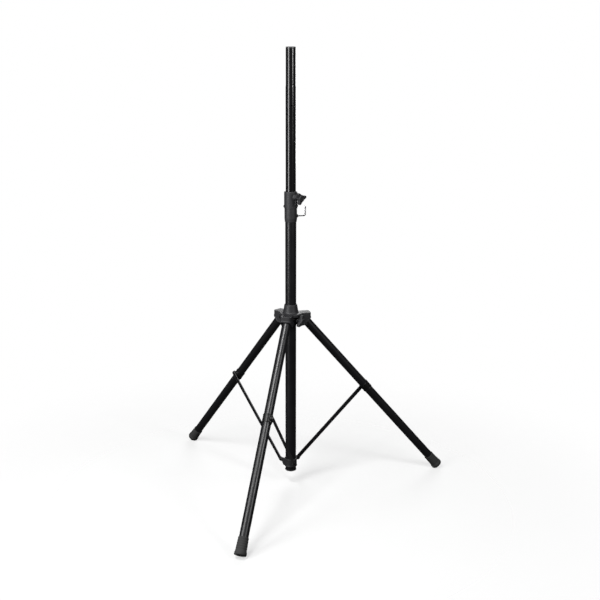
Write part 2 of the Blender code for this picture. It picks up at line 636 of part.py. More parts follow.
def make_hub_body(plastic):
    neck = [
        (0, HUB_BOTTOM), (HUB_CORE_RADIUS, HUB_BOTTOM), (HUB_CORE_RADIUS, HUB_TOP - HUB_DISC_THICKNESS),
        (HUB_DISC_RADIUS, HUB_TOP - HUB_DISC_THICKNESS), (HUB_DISC_RADIUS, HUB_TOP - 0.002),
        (HUB_DISC_RADIUS - 0.002, HUB_TOP), (HUB_NECK_FOOT_RADIUS, HUB_TOP + 0.0008),
        (HUB_NECK_FOOT_RADIUS - 0.0035, HUB_TOP + HUB_NECK_FOOT_HEIGHT * 0.45),
        (HUB_CORE_RADIUS + 0.0005, HUB_TOP + HUB_NECK_FOOT_HEIGHT), (HUB_NECK_TOP_RADIUS, HUB_NECK_TOP),
        (0, HUB_NECK_TOP),
    ]
    hub = finish("hub_body", turned_mesh(neck, ROUND, False), plastic)
    half = CHANNEL_HALF_WIDTH + HUB_CHEEK
    pivot = Vector((PIVOT_DISTANCE, 0, HUB_PIVOT_HEIGHT))
    lobe_turns = [leg_frame(azimuth) for azimuth in LEG_AZIMUTHS]
    for name, turn in zip(LEG_NAMES, lobe_turns):
        lobe = hub_lobe(half)
        round_lobe_tip(lobe, HUB_LOBE_REACH, HUB_CORNER)
        lobe.transform(turn)
        join(hub, lobe, f"lobe_{name}")
    screw_axis = Vector((0, 0, HUB_PIVOT_HEIGHT - LOCK_BELOW_PIVOT))
    boss = hand_screw_boss(HUB_CORE_RADIUS - 0.003, LOCK_BOSS_REACH)
    join(hub, along(boss, radial(SCREW_SIDE), screw_axis), "boss")
    for name, turn in zip(LEG_NAMES, lobe_turns):
        channel = channel_mesh()
        channel.transform(turn)
        cut(hub, channel, f"channel_{name}")
        hole = along(rod_mesh(BOLT_RADIUS + GAP, -2 * half, 2 * half), AXIS_Y, pivot)
        hole.transform(turn)
        cut(hub, hole, f"bolt_hole_{name}")
    cut(hub, hub_bore(), "bore")
    bore_tool = hand_screw_bore(POLE_RADIUS - 0.004, LOCK_BOSS_REACH)
    cut(hub, along(bore_tool, radial(SCREW_SIDE), screw_axis), "screw_bore")
    return hub


def round_lobe_tip(bm, outer, width):
    """Rounds the upright edges at the nose, where x is outer."""
    tip = [
        edge for edge in bm.edges
        if all(abs(corner.co.x - outer) < 1e-5 for corner in edge.verts)
        and abs(edge.verts[0].co.z - edge.verts[1].co.z) > 1e-4
    ]
    bmesh.ops.bevel(bm, geom=tip, offset=width, affect="EDGES", segments=4, profile=0.5, material=-1)


def channel_mesh():
    """The space for a leg's head under a lobe: open below, closed by the roof and the nose."""
    outer = HUB_LOBE_REACH - HUB_NOSE_WALL
    inner = HUB_CORE_RADIUS + GAP
    roof = HUB_TOP - HUB_ROOF
    outline = [(inner, HUB_BOTTOM - 0.02), (outer, HUB_BOTTOM - 0.02), (outer, roof), (inner, roof)]
    bm = prism_mesh(outline, -CHANNEL_HALF_WIDTH, CHANNEL_HALF_WIDTH)
    round_lobe_tip(bm, outer, HUB_CORNER - HUB_NOSE_WALL)
    return bm


def hub_bore():
    lip = HUB_NECK_TOP - HUB_NECK_LIP
    pole = POLE_RADIUS + 2 * GAP
    profile = [
        (0, HUB_BOTTOM - 0.01), (HUB_BORE, HUB_BOTTOM - 0.01), (HUB_BORE, lip), (pole, lip),
        (pole, HUB_NECK_TOP + 0.01), (0, HUB_NECK_TOP + 0.01),
    ]
    return turned_mesh(profile, ROUND, False)


def make_hub_bush(nylon):
    top = HUB_NECK_TOP - HUB_NECK_LIP - GAP
    outer = HUB_BORE - GAP
    bush = finish("hub_bush", ring_mesh(POLE_RADIUS + GAP, outer, HUB_BOTTOM + 0.001, top), nylon)
    hole = rod_mesh(PAD_RADIUS + SLIDE_GAP, POLE_RADIUS / 2, 2 * POLE_RADIUS)
    screw_axis = Vector((0, 0, HUB_PIVOT_HEIGHT - LOCK_BELOW_PIVOT))
    cut(bush, along(hole, radial(SCREW_SIDE), screw_axis), "pad_hole")
    return bush


def make_leg_bolts(steel):
    """The bolt that each leg turns on, and its nut."""
    cheek = CHANNEL_HALF_WIDTH + HUB_CHEEK
    head_start = cheek + GAP
    nut_end = -cheek - GAP
    bolt_profile = [
        (0, nut_end - BOLT_HEAD_HEIGHT - 0.001), (BOLT_RADIUS, nut_end - BOLT_HEAD_HEIGHT - 0.001),
        (BOLT_RADIUS, head_start), (BOLT_HEAD_RADIUS, head_start),
        (BOLT_HEAD_RADIUS, head_start + BOLT_HEAD_HEIGHT * 0.6),
        (BOLT_HEAD_RADIUS * 0.7, head_start + BOLT_HEAD_HEIGHT), (0, head_start + BOLT_HEAD_HEIGHT),
    ]
    for name, azimuth in zip(LEG_NAMES, LEG_AZIMUTHS):
        place = leg_frame(azimuth) @ Matrix.Translation((PIVOT_DISTANCE, 0, HUB_PIVOT_HEIGHT))
        holder = empty_at(f"leg_pivot_{name}", place)
        bolt = turned_mesh(bolt_profile, SMALL_ROUND, False)
        finish(f"leg_bolt_{name}", along(bolt, AXIS_Y), steel, holder)
        nut_body = rod_mesh(NUT_RADIUS, nut_end - BOLT_HEAD_HEIGHT, nut_end, HEX)
        nut = finish(f"leg_nut_{name}", along(nut_body, AXIS_Y), steel, holder)
        hole = rod_mesh(BOLT_RADIUS + GAP, nut_end - 2 * BOLT_HEAD_HEIGHT, nut_end + BOLT_HEAD_HEIGHT)
        cut(nut, along(hole, AXIS_Y), "hole")


# Legs and braces -------------------------------------------------------------------------


def leg_frame(azimuth):
    return Matrix.Rotation(math.radians(azimuth), 4, "Z")


def leg_holder(name, azimuth):
    """On the leg's hub pivot, with local x square out of the leg and local -z down along it."""
    pivot = Matrix.Translation((PIVOT_DISTANCE, 0, HUB_PIVOT_HEIGHT))
    return empty_at(f"leg_{name}_axis", leg_frame(azimuth) @ pivot @ Matrix.Rotation(-LEG_ANGLE, 4, "Y"))


def on_leg(bm):
    """Moves a mesh made about Z onto the leg's centre line."""
    bm.transform(Matrix.Translation((LEG_OFFSET, 0, 0)))
    return bm


def make_leg_tube(name, holder, paint):
    end = LEG_LENGTH - FOOT_SOLE_DEPTH
    tube = ring_mesh(LEG_RADIUS - LEG_WALL, LEG_RADIUS, -end, -LEG_TUBE_START)
    return finish(f"leg_tube_{name}", on_leg(tube), paint, holder)


def make_leg_head(name, holder, plastic):
    """Plug in the tube's end, a flange over it and a boss round the bolt."""
    flange_low = -LEG_TUBE_START + GAP
    flange_high = flange_low + LEG_HEAD_FLANGE
    plug = LEG_RADIUS - LEG_WALL - GAP
    profile = [
        (0, -LEG_HEAD_DEPTH), (plug - 0.001, -LEG_HEAD_DEPTH), (plug, -LEG_HEAD_DEPTH + 0.002),
        (plug, flange_low), (LEG_RADIUS, flange_low), (LEG_RADIUS, flange_high), (0, flange_high),
    ]
    head = finish(f"leg_head_{name}", on_leg(turned_mesh(profile, ROUND, False)), plastic, holder)
    width = LEG_HEAD_HALF_WIDTH
    boss = along(rod_mesh(LEG_HEAD_BOSS, -width, width, ROUND), AXIS_Y)
    join(head, boss, "boss")
    web = [(-0.0045, -0.0045), (0.014, -0.0045), (0.014, 0.0005), (0.004, 0.0062), (-0.002, 0.0062)]
    join(head, prism_mesh(web, -width + 0.0005, width - 0.0005), "web")
    cut(head, along(rod_mesh(BOLT_RADIUS + GAP, -2 * width, 2 * width), AXIS_Y), "bolt_hole")
    return head


def make_foot(name, holder, rubber):
    """A flared boot over the leg's end, with its lowest rim trimmed flat on the floor."""
    bore = LEG_RADIUS + GAP
    top = -LEG_LENGTH + FOOT_LENGTH
    floor = -LEG_LENGTH + FOOT_SOLE_DEPTH - GAP
    end = -LEG_LENGTH - SOLE_TRIM
    top_radius = bore + FOOT_TOP_WALL
    profile = [
        (0, end), (FOOT_END_RADIUS - FOOT_BEVEL, end), (FOOT_END_RADIUS - 0.001, end + 0.001),
        (FOOT_END_RADIUS, end + 0.003), (FOOT_END_RADIUS, end + 0.010),
        (FOOT_END_RADIUS - 0.0015, end + 0.014), (top_radius, top - 0.003),
        (top_radius - 0.0008, top), (bore, top), (bore, floor), (0, floor),
    ]
    foot = on_leg(turned_mesh(profile, ROUND, False))
    down = Vector((-math.sin(LEG_ANGLE), 0, -math.cos(LEG_ANGLE)))
    bmesh.ops.bisect_plane(
        foot, geom=foot.verts[:] + foot.edges[:] + foot.faces[:], dist=1e-7,
        plane_co=down * HUB_PIVOT_HEIGHT, plane_no=down, clear_outer=True,
    )
    rim = [edge for edge in foot.edges if edge.is_boundary]
    bmesh.ops.holes_fill(foot, edges=rim, sides=0)
    bmesh.ops.recalc_face_normals(foot, faces=foot.faces)
    return finish(f"foot_{name}", foot, rubber, holder)


def make_bracket(name, holder, steel):
    """A sleeve round the leg with an ear beside it, which the brace turns on."""
    bore = LEG_RADIUS + GAP
    outer = bore + BRACKET_WALL
    low = -BRACE_PIVOT_DOWN - BRACKET_LENGTH / 2
    sleeve = on_leg(ring_mesh(bore, outer, low, low + BRACKET_LENGTH))
    bracket = finish(f"brace_bracket_{name}", sleeve, steel, holder)
    pivot = (BRACE_PIVOT_OUT, -BRACE_PIVOT_DOWN)
    side = BRACKET_LENGTH * 0.4
    outline = [
        (LEG_OFFSET - 0.002, pivot[1] - side), *arc_points(*pivot, EAR_RADIUS, -60, 60),
        (LEG_OFFSET - 0.002, pivot[1] + side),
    ]
    join(bracket, prism_mesh(outline, EAR_BOTTOM - 0.002, EAR_TOP), "ear")
    leg_room = rod_mesh(bore + BRACKET_WALL / 2, low - 0.01, low + BRACKET_LENGTH + 0.01, ROUND)
    cut(bpy.data.objects[f"{bracket.name}_ear"], on_leg(leg_room), "leg_room")
    hole = rod_mesh(RIVET_RADIUS + GAP, EAR_BOTTOM - GAP, EAR_TOP + 0.01)
    cut(bracket, along(hole, AXIS_Y, Vector((pivot[0], 0, pivot[1]))), "rivet_hole")
    rivet = rivet_mesh(EAR_BOTTOM)
    rivet.transform(Matrix.Translation((pivot[0], 0, pivot[1])))
    finish(f"bracket_rivet_{name}", rivet, steel, holder)


def make_brace(name, azimuth, paint):
    """A flat bar with round ends, on its base pivot, with local z up along the bar."""
    pivot = Matrix.Translation((PIVOT_DISTANCE, BRACE_SIDE, BASE_PIVOT_HEIGHT))
    holder = empty_at(f"brace_{name}_axis", leg_frame(azimuth) @ pivot @ Matrix.Rotation(LINK_ANGLE, 4, "Y"))
    half = BRACE_WIDTH / 2
    outline = [*arc_points(0, 0, half, 180, 360), *arc_points(0, LINK_LENGTH, half, 0, 180)]
    thick = BRACE_THICKNESS / 2
    bar = finish(f"brace_bar_{name}", prism_mesh(outline, -thick, thick), paint, holder)
    for label, height in (("low_hole", 0), ("high_hole", LINK_LENGTH)):
        hole = rod_mesh(RIVET_RADIUS + GAP, -2 * thick, 2 * thick)
        cut(bar, along(hole, AXIS_Y, Vector((0, 0, height))), label)
    return bar


def centre_footprint(feet):
    """Moves the stand so that the middle of its feet's extent lies on the origin."""
    bpy.context.view_layer.update()
    depths = [(foot.matrix_world @ corner.co).y for foot in feet for corner in foot.data.vertices]
    bpy.data.objects[STAND].location.y = -(min(depths) + max(depths)) / 2


def main():
    clear_scene()
    empty_at(STAND, Matrix.Identity(4))
    paint = make_material("black_powder_coat", (0.012, 0.012, 0.013), 0.0, 0.38)
    mast_paint = make_material("mast_gloss_black", (0.010, 0.010, 0.011), 0.0, 0.25)
    plastic = make_material("black_nylon_moulding", (0.028, 0.028, 0.030), 0.0, 0.55)
    nylon = make_material("bush_nylon", (0.06, 0.06, 0.062), 0.0, 0.5)
    rubber = make_material("foot_rubber", (0.03, 0.03, 0.031), 0.0, 0.8)
    zinc = make_material("black_zinc", (0.03, 0.03, 0.032), 0.8, 0.42)
    chrome = make_material("pin_chrome", (0.78, 0.78, 0.80), 1.0, 0.12)
    brass = make_material("brass", (0.62, 0.46, 0.20), 1.0, 0.3)

    make_lower_tube(paint)
    make_base_cap(plastic)
    make_base_collar(plastic)
    make_base_rivets(zinc)
    make_clamp_collar(plastic)
    make_collar_bush(nylon)
    make_collar_screws(zinc)
    make_locking_pin(chrome)
    make_mast_tube(mast_paint)
    make_mast_top_cap(plastic)
    make_mast_guide(nylon)
    make_hub_body(plastic)
    make_hub_bush(nylon)
    make_leg_bolts(zinc)
    make_hand_screw(
        "clamp", MAST_RADIUS, COLLAR_TOP - CLAMP_BELOW_TOP, CLAMP_BOSS_REACH,
        (CLAMP_LOBE_REACH, CLAMP_KNOB_TURN), "clamp_insert", (brass, zinc, plastic),
    )
    make_hand_screw(
        "hub_lock", POLE_RADIUS, HUB_PIVOT_HEIGHT - LOCK_BELOW_PIVOT, LOCK_BOSS_REACH,
        (LOCK_LOBE_REACH, LOCK_KNOB_TURN), "hub_insert", (brass, zinc, plastic),
    )
    feet = []
    for name, azimuth in zip(LEG_NAMES, LEG_AZIMUTHS):
        holder = leg_holder(name, azimuth)
        make_leg_tube(name, holder, paint)
        make_leg_head(name, holder, plastic)
        feet.append(make_foot(name, holder, rubber))
        make_bracket(name, holder, zinc)
        make_brace(name, azimuth, paint)
    centre_footprint(feet)


main()
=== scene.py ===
"""A folding speaker stand in full detail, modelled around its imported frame. Metres, +Z up."""

import json
import math

import bmesh
import bpy
from bpy.props import FloatProperty, FloatVectorProperty, IntProperty, PointerProperty
from mathutils import Matrix, Vector


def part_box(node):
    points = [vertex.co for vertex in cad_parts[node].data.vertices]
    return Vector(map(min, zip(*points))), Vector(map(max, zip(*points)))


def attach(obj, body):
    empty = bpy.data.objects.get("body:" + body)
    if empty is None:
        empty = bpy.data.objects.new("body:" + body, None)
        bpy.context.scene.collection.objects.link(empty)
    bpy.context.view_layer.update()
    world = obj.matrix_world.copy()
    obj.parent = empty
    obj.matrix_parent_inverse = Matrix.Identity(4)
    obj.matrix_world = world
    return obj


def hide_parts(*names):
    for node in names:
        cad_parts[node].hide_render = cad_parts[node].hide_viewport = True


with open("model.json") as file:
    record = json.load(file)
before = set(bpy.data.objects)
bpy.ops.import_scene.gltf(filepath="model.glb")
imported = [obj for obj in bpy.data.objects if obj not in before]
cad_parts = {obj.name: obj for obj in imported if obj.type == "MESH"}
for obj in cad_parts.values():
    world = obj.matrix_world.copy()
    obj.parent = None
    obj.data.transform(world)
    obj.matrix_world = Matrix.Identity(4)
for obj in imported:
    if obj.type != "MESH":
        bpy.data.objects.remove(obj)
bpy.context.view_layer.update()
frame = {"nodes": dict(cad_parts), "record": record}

bl_info = {
    "name": "Speaker stand",
    "version": (1, 0, 0),
    "blender": (4, 5, 0),
    "location": "View3D > Sidebar > Stand",
    "description": "Builds a folding tripod stand for a loudspeaker, with its studio",
    "category": "Add Mesh",
}

# The frame's own sizes
LEG_NAMES = ("a", "b", "c")
LEG_AZIMUTHS = (-90.0, 30.0, 150.0)  # degrees, counted from +X
LEG_ANGLE = math.radians(40.7)  # from the vertical
LEG_LENGTH = 0.8587
LEG_OFFSET = 0.010  # leg centre line, outside its pivot
LEG_TUBE_START = 0.0085
LEG_HEAD_DEPTH = 0.040
LEG_HEAD_FLANGE = 0.0052
LEG_HEAD_HALF_WIDTH = 0.012
LEG_HEAD_BOSS = 0.008
PIVOT_DISTANCE = 0.033
LINK_LENGTH = 0.390
BRACE_PIVOT_OUT = 0.020
BRACE_SIDE = 0.0216
EAR_TOP = 0.0198
EAR_BOTTOM = 0.0164
EAR_RADIUS = 0.0085
RIVET_RADIUS = 0.0026
SOLE_DEPTH = 0.0235
POLE_BOTTOM = 0.060
POLE_TOP = 1.0835
MAST_BOTTOM = 0.715
MAST_TOP = 1.620
SPIGOT_LENGTH = 0.128
PIN_HOLE_DROPS = (0.1945, 0.6745, 0.7945)
PIN_HOLE_AZIMUTH = math.radians(-60.0)
COLLAR_BOTTOM = 1.0145
COLLAR_TOP = 1.124
COLLAR_SEAM = 1.0625
COLLAR_BUSH_RADIUS = 0.0212
SCREW_HEIGHT = 1.0717
SCREW_SIDE = math.radians(-30.0)
CLAMP_HEIGHT = 1.104
CLAMP_REACH = 0.034
LOCK_REACH = 0.042
LOCK_DROP = 0.0053
PIN_SIDE = math.radians(30.0)
PIN_HEIGHT = 1.0354
PIN_REACH = 0.0475
PIN_BEND = 0.006
PIN_HANDLE = 0.036
HUB_BORE = 0.0221
HUB_CORE = 0.024
HUB_REACH = 0.073
HUB_KNEE = 0.050
HUB_CHANNEL = 0.0165  # half the width between a lobe's cheeks
HUB_CHEEK = 0.0032
HUB_NOSE_HEIGHT = 0.020
HUB_NOSE_WALL = 0.003
HUB_ROOF = 0.0045
HUB_BELOW = 0.0228
HUB_ABOVE = 0.0197
HUB_NECK = 0.032
CLAMP_KNOB_TURN = 70.0  # degrees that a knob's first lobe is turned
LOCK_KNOB_TURN = 30.0
BOLT_HOLE = 0.0043
STUD_START = 0.0043  # from a tube's skin, behind the pad
SCREW_HOLE = 0.0025
PIN_HOLE = 0.0032
GAP = 0.0003
SHARP = 32.0  # degrees, above which an edge is shaded sharp
MOULDED_SHARP = 60.0  # the same for a moulded skin, whose grid is coarser

# Where the pole stands, and its two rings of pivots, come from the frame
low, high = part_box("lower_tube")
POLE_PLACE = Matrix.Translation(((low.x + high.x) / 2, (low.y + high.y) / 2, 0))
low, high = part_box("leg_bolt_a")
HUB_PIVOT = (low.z + high.z) / 2
low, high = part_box("base_rivet_a")
BASE_PIVOT = (low.z + high.z) / 2
HUB_LOW = HUB_PIVOT - HUB_BELOW
HUB_HIGH = HUB_PIVOT + HUB_ABOVE
BRACE_PIVOT_DOWN = math.sqrt(LINK_LENGTH**2 - BRACE_PIVOT_OUT**2)
LINK_ANGLE = LEG_ANGLE + math.atan2(BRACE_PIVOT_OUT, BRACE_PIVOT_DOWN)
AXIS_X = Vector((1, 0, 0))
AXIS_Y = Vector((0, 1, 0))
AXIS_Z = Vector((0, 0, 1))

# Camera and stage
CAMERA_DISTANCE = 3.379
CAMERA_HEIGHT = 1.571
CAMERA_AZIMUTH = math.radians(-74.07)
CAMERA_PITCH = math.radians(14.06)
CAMERA_LENS = 57.0
CAMERA_SHIFT = 0.0154
FLOOR_RADIUS = 6.0
FLOOR_FADE = (0.3, 1.6)  # from the middle, where the floor starts and ends to clear
FLOOR_CLEAR = 0.55  # how clear it already is in the middle
SKY_SEEN = 1.0
SKY_CAST = 0.05
# Name, degrees from the camera, distance, height, width, tallness, watts, height aimed at
SOFT_BOXES = (
    ("left_soft_box", -50.0, 2.6, 1.5, 0.8, 2.2, 60.0, 0.8),
    ("right_strip", 47.0, 2.4, 1.95, 0.35, 1.0, 26.0, 1.4),
    ("front_top_soft_box", -32.0, 1.5, 3.1, 0.8, 0.8, 62.0, 0.3),
    ("rear_soft_box", 168.0, 2.8, 1.9, 1.2, 2.2, 45.0, 0.8),
)


def length(name, description, default):
    return FloatProperty(name=name, description=description, default=default, unit="LENGTH")


def tint(name, description, default):
    return FloatVectorProperty(name=name, description=description, default=default, subtype="COLOR")


class StandSizes(bpy.types.PropertyGroup):
    """Sizes that change the stand's look."""

    pole_radius: length("Pole radius", "Outside of the lower tube", 0.020)
    mast_radius: length("Mast radius", "Outside of the sliding tube", 0.0182)
    spigot_radius: length("Spigot radius", "Outside of the mast's top", 0.0175)
    tube_wall: length("Tube wall", "Thickness of every tube", 0.0012)
    leg_radius: length("Leg radius", "Outside of a leg tube", 0.016)
    foot_radius: length("Foot radius", "Widest part of a foot", 0.021)
    foot_length: length("Foot length", "Length of a rubber foot", 0.057)
    brace_width: length("Brace width", "Width of a flat brace", 0.015)
    brace_thickness: length("Brace thickness", "Thickness of a flat brace", 0.003)
    clamp_lobe: length("Clamp knob reach", "Reach of the upper knob's lobes", 0.024)
    lock_lobe: length("Hub knob reach", "Reach of the lower knob's lobes", 0.026)
    pin_radius: length("Pin radius", "Radius of the bent wire pin", 0.0025)
    round_sides: IntProperty(
        name="Round sides", description="Sides of a tube", default=96, min=24, max=192)
    skin: length("Moulding grid", "Grid that rounds the moulded parts", 0.0009)


class StandColours(bpy.types.PropertyGroup):
    """Colours of the stand's finishes and of the studio."""

    coat: tint("Powder coat", "Legs, braces and lower tube", (0.0045, 0.0045, 0.0055))
    mast: tint("Mast paint", "Sliding tube", (0.003, 0.003, 0.0035))
    moulding: tint("Moulded nylon", "Hub, collars and knobs", (0.018, 0.018, 0.020))
    rubber: tint("Rubber", "Feet", (0.014, 0.0135, 0.013))
    zinc: tint("Black zinc", "Bolts, rivets and brackets", (0.05, 0.05, 0.053))
    chrome: tint("Chrome", "Locking pin", (0.78, 0.78, 0.80))
    brass: tint("Brass", "Threaded inserts", (0.62, 0.46, 0.20))
    floor: tint("Floor", "Studio floor", (0.86, 0.86, 0.86))


# Finishes --------------------------------------------------------------------------------


def put(tree, kind, links=None, **settings):
    """Adds a node, sets what it is given and joins or fills its inputs."""
    node = tree.nodes.new(kind)
    for name, value in settings.items():
        setattr(node, name, value)
    for name, value in (links or {}).items():
        socket = node.inputs[name]
        if isinstance(value, bpy.types.NodeSocket):
            tree.links.new(value, socket)
        else:
            socket.default_value = value
    return node


def noise(tree, place, scale, detail=3.0, stretch=None):
    """Noise on the object's own coordinates, drawn out along an axis if asked."""
    if stretch:
        place = put(tree, "ShaderNodeMapping", {"Vector": place, "Scale": stretch}).outputs["Vector"]
    return put(tree, "ShaderNodeTexNoise", {"Vector": place, "Scale": scale, "Detail": detail}).outputs["Fac"]


def between(tree, value, low, high, out_low=0.0, out_high=1.0):
    """Turns one range of a value smoothly into another."""
    links = {"Value": value, "From Min": low, "From Max": high, "To Min": out_low, "To Max": out_high}
    return put(tree, "ShaderNodeMapRange", links, interpolation_type="SMOOTHSTEP").outputs["Result"]


def times(tree, first, second):
    return put(tree, "ShaderNodeMath", {0: first, 1: second}, operation="MULTIPLY").outputs[0]


def plus(tree, first, second):
    return put(tree, "ShaderNodeMath", {0: first, 1: second}, operation="ADD").outputs[0]


def blend_colour(tree, amount, first, second):
    node = put(tree, "ShaderNodeMix", {"Factor": amount}, data_type="RGBA")
    for socket, colour in ((node.inputs[6], first), (node.inputs[7], second)):
        if isinstance(colour, bpy.types.NodeSocket):
            tree.links.new(colour, socket)
        else:
            socket.default_value = colour
    return node.outputs[2]


def lighter(colour, factor, lift=0.0):
    return (*(min(1.0, part * factor + lift) for part in colour), 1.0)


def start_finish(name):
    material = bpy.data.materials.new(name)
    material.use_nodes = True
    tree = material.node_tree
    shader = tree.nodes["Principled BSDF"]
    place = put(tree, "ShaderNodeTexCoord").outputs["Object"]
    return material, tree, shader, place


def set_bump(tree, shader, height, strength, distance):
    bump = put(tree, "ShaderNodeBump", {"Height": height, "Strength": strength, "Distance": distance})
    tree.links.new(bump.outputs["Normal"], shader.inputs["Normal"])


def edge_wear(tree, place, scale, low, high):
    """Where edges have rubbed: the edge attribute broken up by noise."""
    edge = put(tree, "ShaderNodeAttribute", attribute_name="edge").outputs["Fac"]
    return between(tree, times(tree, edge, noise(tree, place, scale, 5.0)), low, high)


def coat_finish(name, colour, roughness, peel, scratches):
    """Coated steel: orange peel, faint sliding marks along Z, and rubbed edges."""
    material, tree, shader, place = start_finish(name)
    broad = noise(tree, place, 14.0)
    speck = noise(tree, place, 900.0, 2.0)
    marks = between(tree, noise(tree, place, 1.0, 4.0, (700.0, 700.0, 9.0)), 0.62, 0.72)
    marks = times(tree, marks, between(tree, noise(tree, place, 6.0), 0.45, 0.7))
    marks = times(tree, marks, scratches)
    tone = blend_colour(tree, broad, lighter(colour, 0.85), lighter(colour, 1.25))
    tone = blend_colour(tree, marks, tone, lighter(colour, 2.2, 0.02))
    worn = edge_wear(tree, place, 320.0, 0.16, 0.34)
    tone = blend_colour(tree, worn, tone, lighter(colour, 1.0, 0.09))
    tree.links.new(tone, shader.inputs["Base Color"])
    rough = between(tree, broad, 0.25, 0.75, roughness * 0.9, roughness * 1.12)
    rough = plus(tree, rough, times(tree, marks, 0.15))
    tree.links.new(rough, shader.inputs["Roughness"])
    shader.inputs["Coat Weight"].default_value = 0.12
    shader.inputs["Coat Roughness"].default_value = 0.25
    height = plus(tree, times(tree, speck, peel), times(tree, marks, -0.3))
    set_bump(tree, shader, height, 0.04 + 0.5 * peel, 0.0002)
    return material


def moulded_finish(name, colour, roughness):
    """Glass-filled nylon: a fine spark-eroded grain, pale scuffs and rubbed edges."""
    material, tree, shader, place = start_finish(name)
    broad = noise(tree, place, 30.0)
    grain = put(tree, "ShaderNodeTexVoronoi", {"Vector": place, "Scale": 1300.0}).outputs["Distance"]
    fine = noise(tree, place, 2400.0, 2.0)
    scuff = between(tree, noise(tree, place, 1.0, 4.0, (260.0, 260.0, 60.0)), 0.64, 0.78)
    tone = blend_colour(tree, broad, lighter(colour, 0.82), lighter(colour, 1.2))
    tone = blend_colour(tree, times(tree, scuff, 0.45), tone, lighter(colour, 1.5, 0.03))
    worn = edge_wear(tree, place, 420.0, 0.22, 0.5)
    tone = blend_colour(tree, times(tree, worn, 0.6), tone, lighter(colour, 1.6, 0.045))
    tree.links.new(tone, shader.inputs["Base Color"])
    rough = between(tree, plus(tree, times(tree, broad, 0.6), times(tree, fine, 0.4)), 0.3, 0.7,
                    roughness * 0.9, roughness * 1.12)
    tree.links.new(rough, shader.inputs["Roughness"])
    set_bump(tree, shader, plus(tree, times(tree, grain, 0.7), times(tree, fine, 0.5)), 0.3, 0.00025)
    return material


def rubber_finish(name, colour):
    """Rubber: dull, with a dry bloom and pale dust rising from the floor."""
    material, tree, shader, place = start_finish(name)
    bloom = noise(tree, place, 45.0, 5.0)
    fine = noise(tree, place, 1500.0, 3.0)
    height = put(tree, "ShaderNodeSeparateXYZ", {"Vector": place}).outputs["Z"]
    specks = between(tree, noise(tree, place, 260.0, 6.0), 0.35, 0.7)
    dust = times(tree, between(tree, height, 0.035, 0.0), specks)
    tone = blend_colour(tree, bloom, lighter(colour, 0.75), lighter(colour, 1.35))
    tone = blend_colour(tree, times(tree, dust, 0.55), tone, (0.16, 0.15, 0.135, 1.0))
    worn = edge_wear(tree, place, 300.0, 0.2, 0.5)
    tone = blend_colour(tree, times(tree, worn, 0.5), tone, lighter(colour, 1.4, 0.03))
    tree.links.new(tone, shader.inputs["Base Color"])
    tree.links.new(between(tree, bloom, 0.3, 0.7, 0.62, 0.8), shader.inputs["Roughness"])
    set_bump(tree, shader, plus(tree, fine, times(tree, bloom, 0.6)), 0.4, 0.0003)
    return material


def metal_finish(name, colour, roughness, dull, stretch):
    """Bare or plated metal: drawing lines, patches of duller plate, and bright rubbed edges."""
    material, tree, shader, place = start_finish(name)
    lines = noise(tree, place, 1.0, 3.0, stretch)
    patch = noise(tree, place, 120.0, 5.0)
    tone = blend_colour(tree, patch, lighter(colour, 0.8), lighter(colour, 1.15))
    worn = edge_wear(tree, place, 500.0, 0.25, 0.55)
    tone = blend_colour(tree, times(tree, worn, 0.7), tone, lighter(colour, 1.3, 0.12))
    tree.links.new(tone, shader.inputs["Base Color"])
    shader.inputs["Metallic"].default_value = 1.0
    rough = between(tree, patch, 0.3, 0.75, roughness, roughness * (1 + dull))
    rough = plus(tree, rough, times(tree, lines, 0.08))
    tree.links.new(rough, shader.inputs["Roughness"])
    set_bump(tree, shader, plus(tree, lines, times(tree, patch, 0.4)), 0.12, 0.0001)
    return material


def make_finishes(colours):
    """One material for each slot of the record."""
    return {
        "black_powder_coat": coat_finish("powder_coat", colours.coat, 0.36, 0.6, 0.35),
        "mast_gloss_black": coat_finish("mast_paint", colours.mast, 0.20, 0.08, 0.4),
        "black_nylon_moulding": moulded_finish("moulded_nylon", colours.moulding, 0.52),
        "bush_nylon": moulded_finish("bush_nylon", lighter(colours.moulding, 1.6)[:3], 0.42),
        "foot_rubber": rubber_finish("foot_rubber", colours.rubber),
        "black_zinc": metal_finish("black_zinc", colours.zinc, 0.34, 0.5, (300.0, 300.0, 300.0)),
        "pin_chrome": metal_finish("pin_chrome", colours.chrome, 0.07, 0.8, (900.0, 900.0, 40.0)),
        "brass": metal_finish("brass", colours.brass, 0.24, 0.6, (800.0, 800.0, 800.0)),
    }


def finish_for(slot):
    return bpy.data.materials[FINISH_NAMES[slot]]


FINISH_NAMES = {
    "black_powder_coat": "powder_coat", "mast_gloss_black": "mast_paint",
    "black_nylon_moulding": "moulded_nylon", "bush_nylon": "bush_nylon", "foot_rubber": "foot_rubber",
    "black_zinc": "black_zinc", "pin_chrome": "pin_chrome", "brass": "brass",
}


# Shapes ----------------------------------------------------------------------------------


def steady(profile, reach=0.0025):
    """Adds points near the ends of long runs, so that edge wear stays at the edges."""
    points = []
    for start, end in zip(profile, profile[1:] + profile[:1]):
        points.append(start)
        run = math.dist(start, end)
        if run > 4 * reach:
            for share in (reach / run, 1 - reach / run):
                points.append(tuple(a + (b - a) * share for a, b in zip(start, end)))
    return points


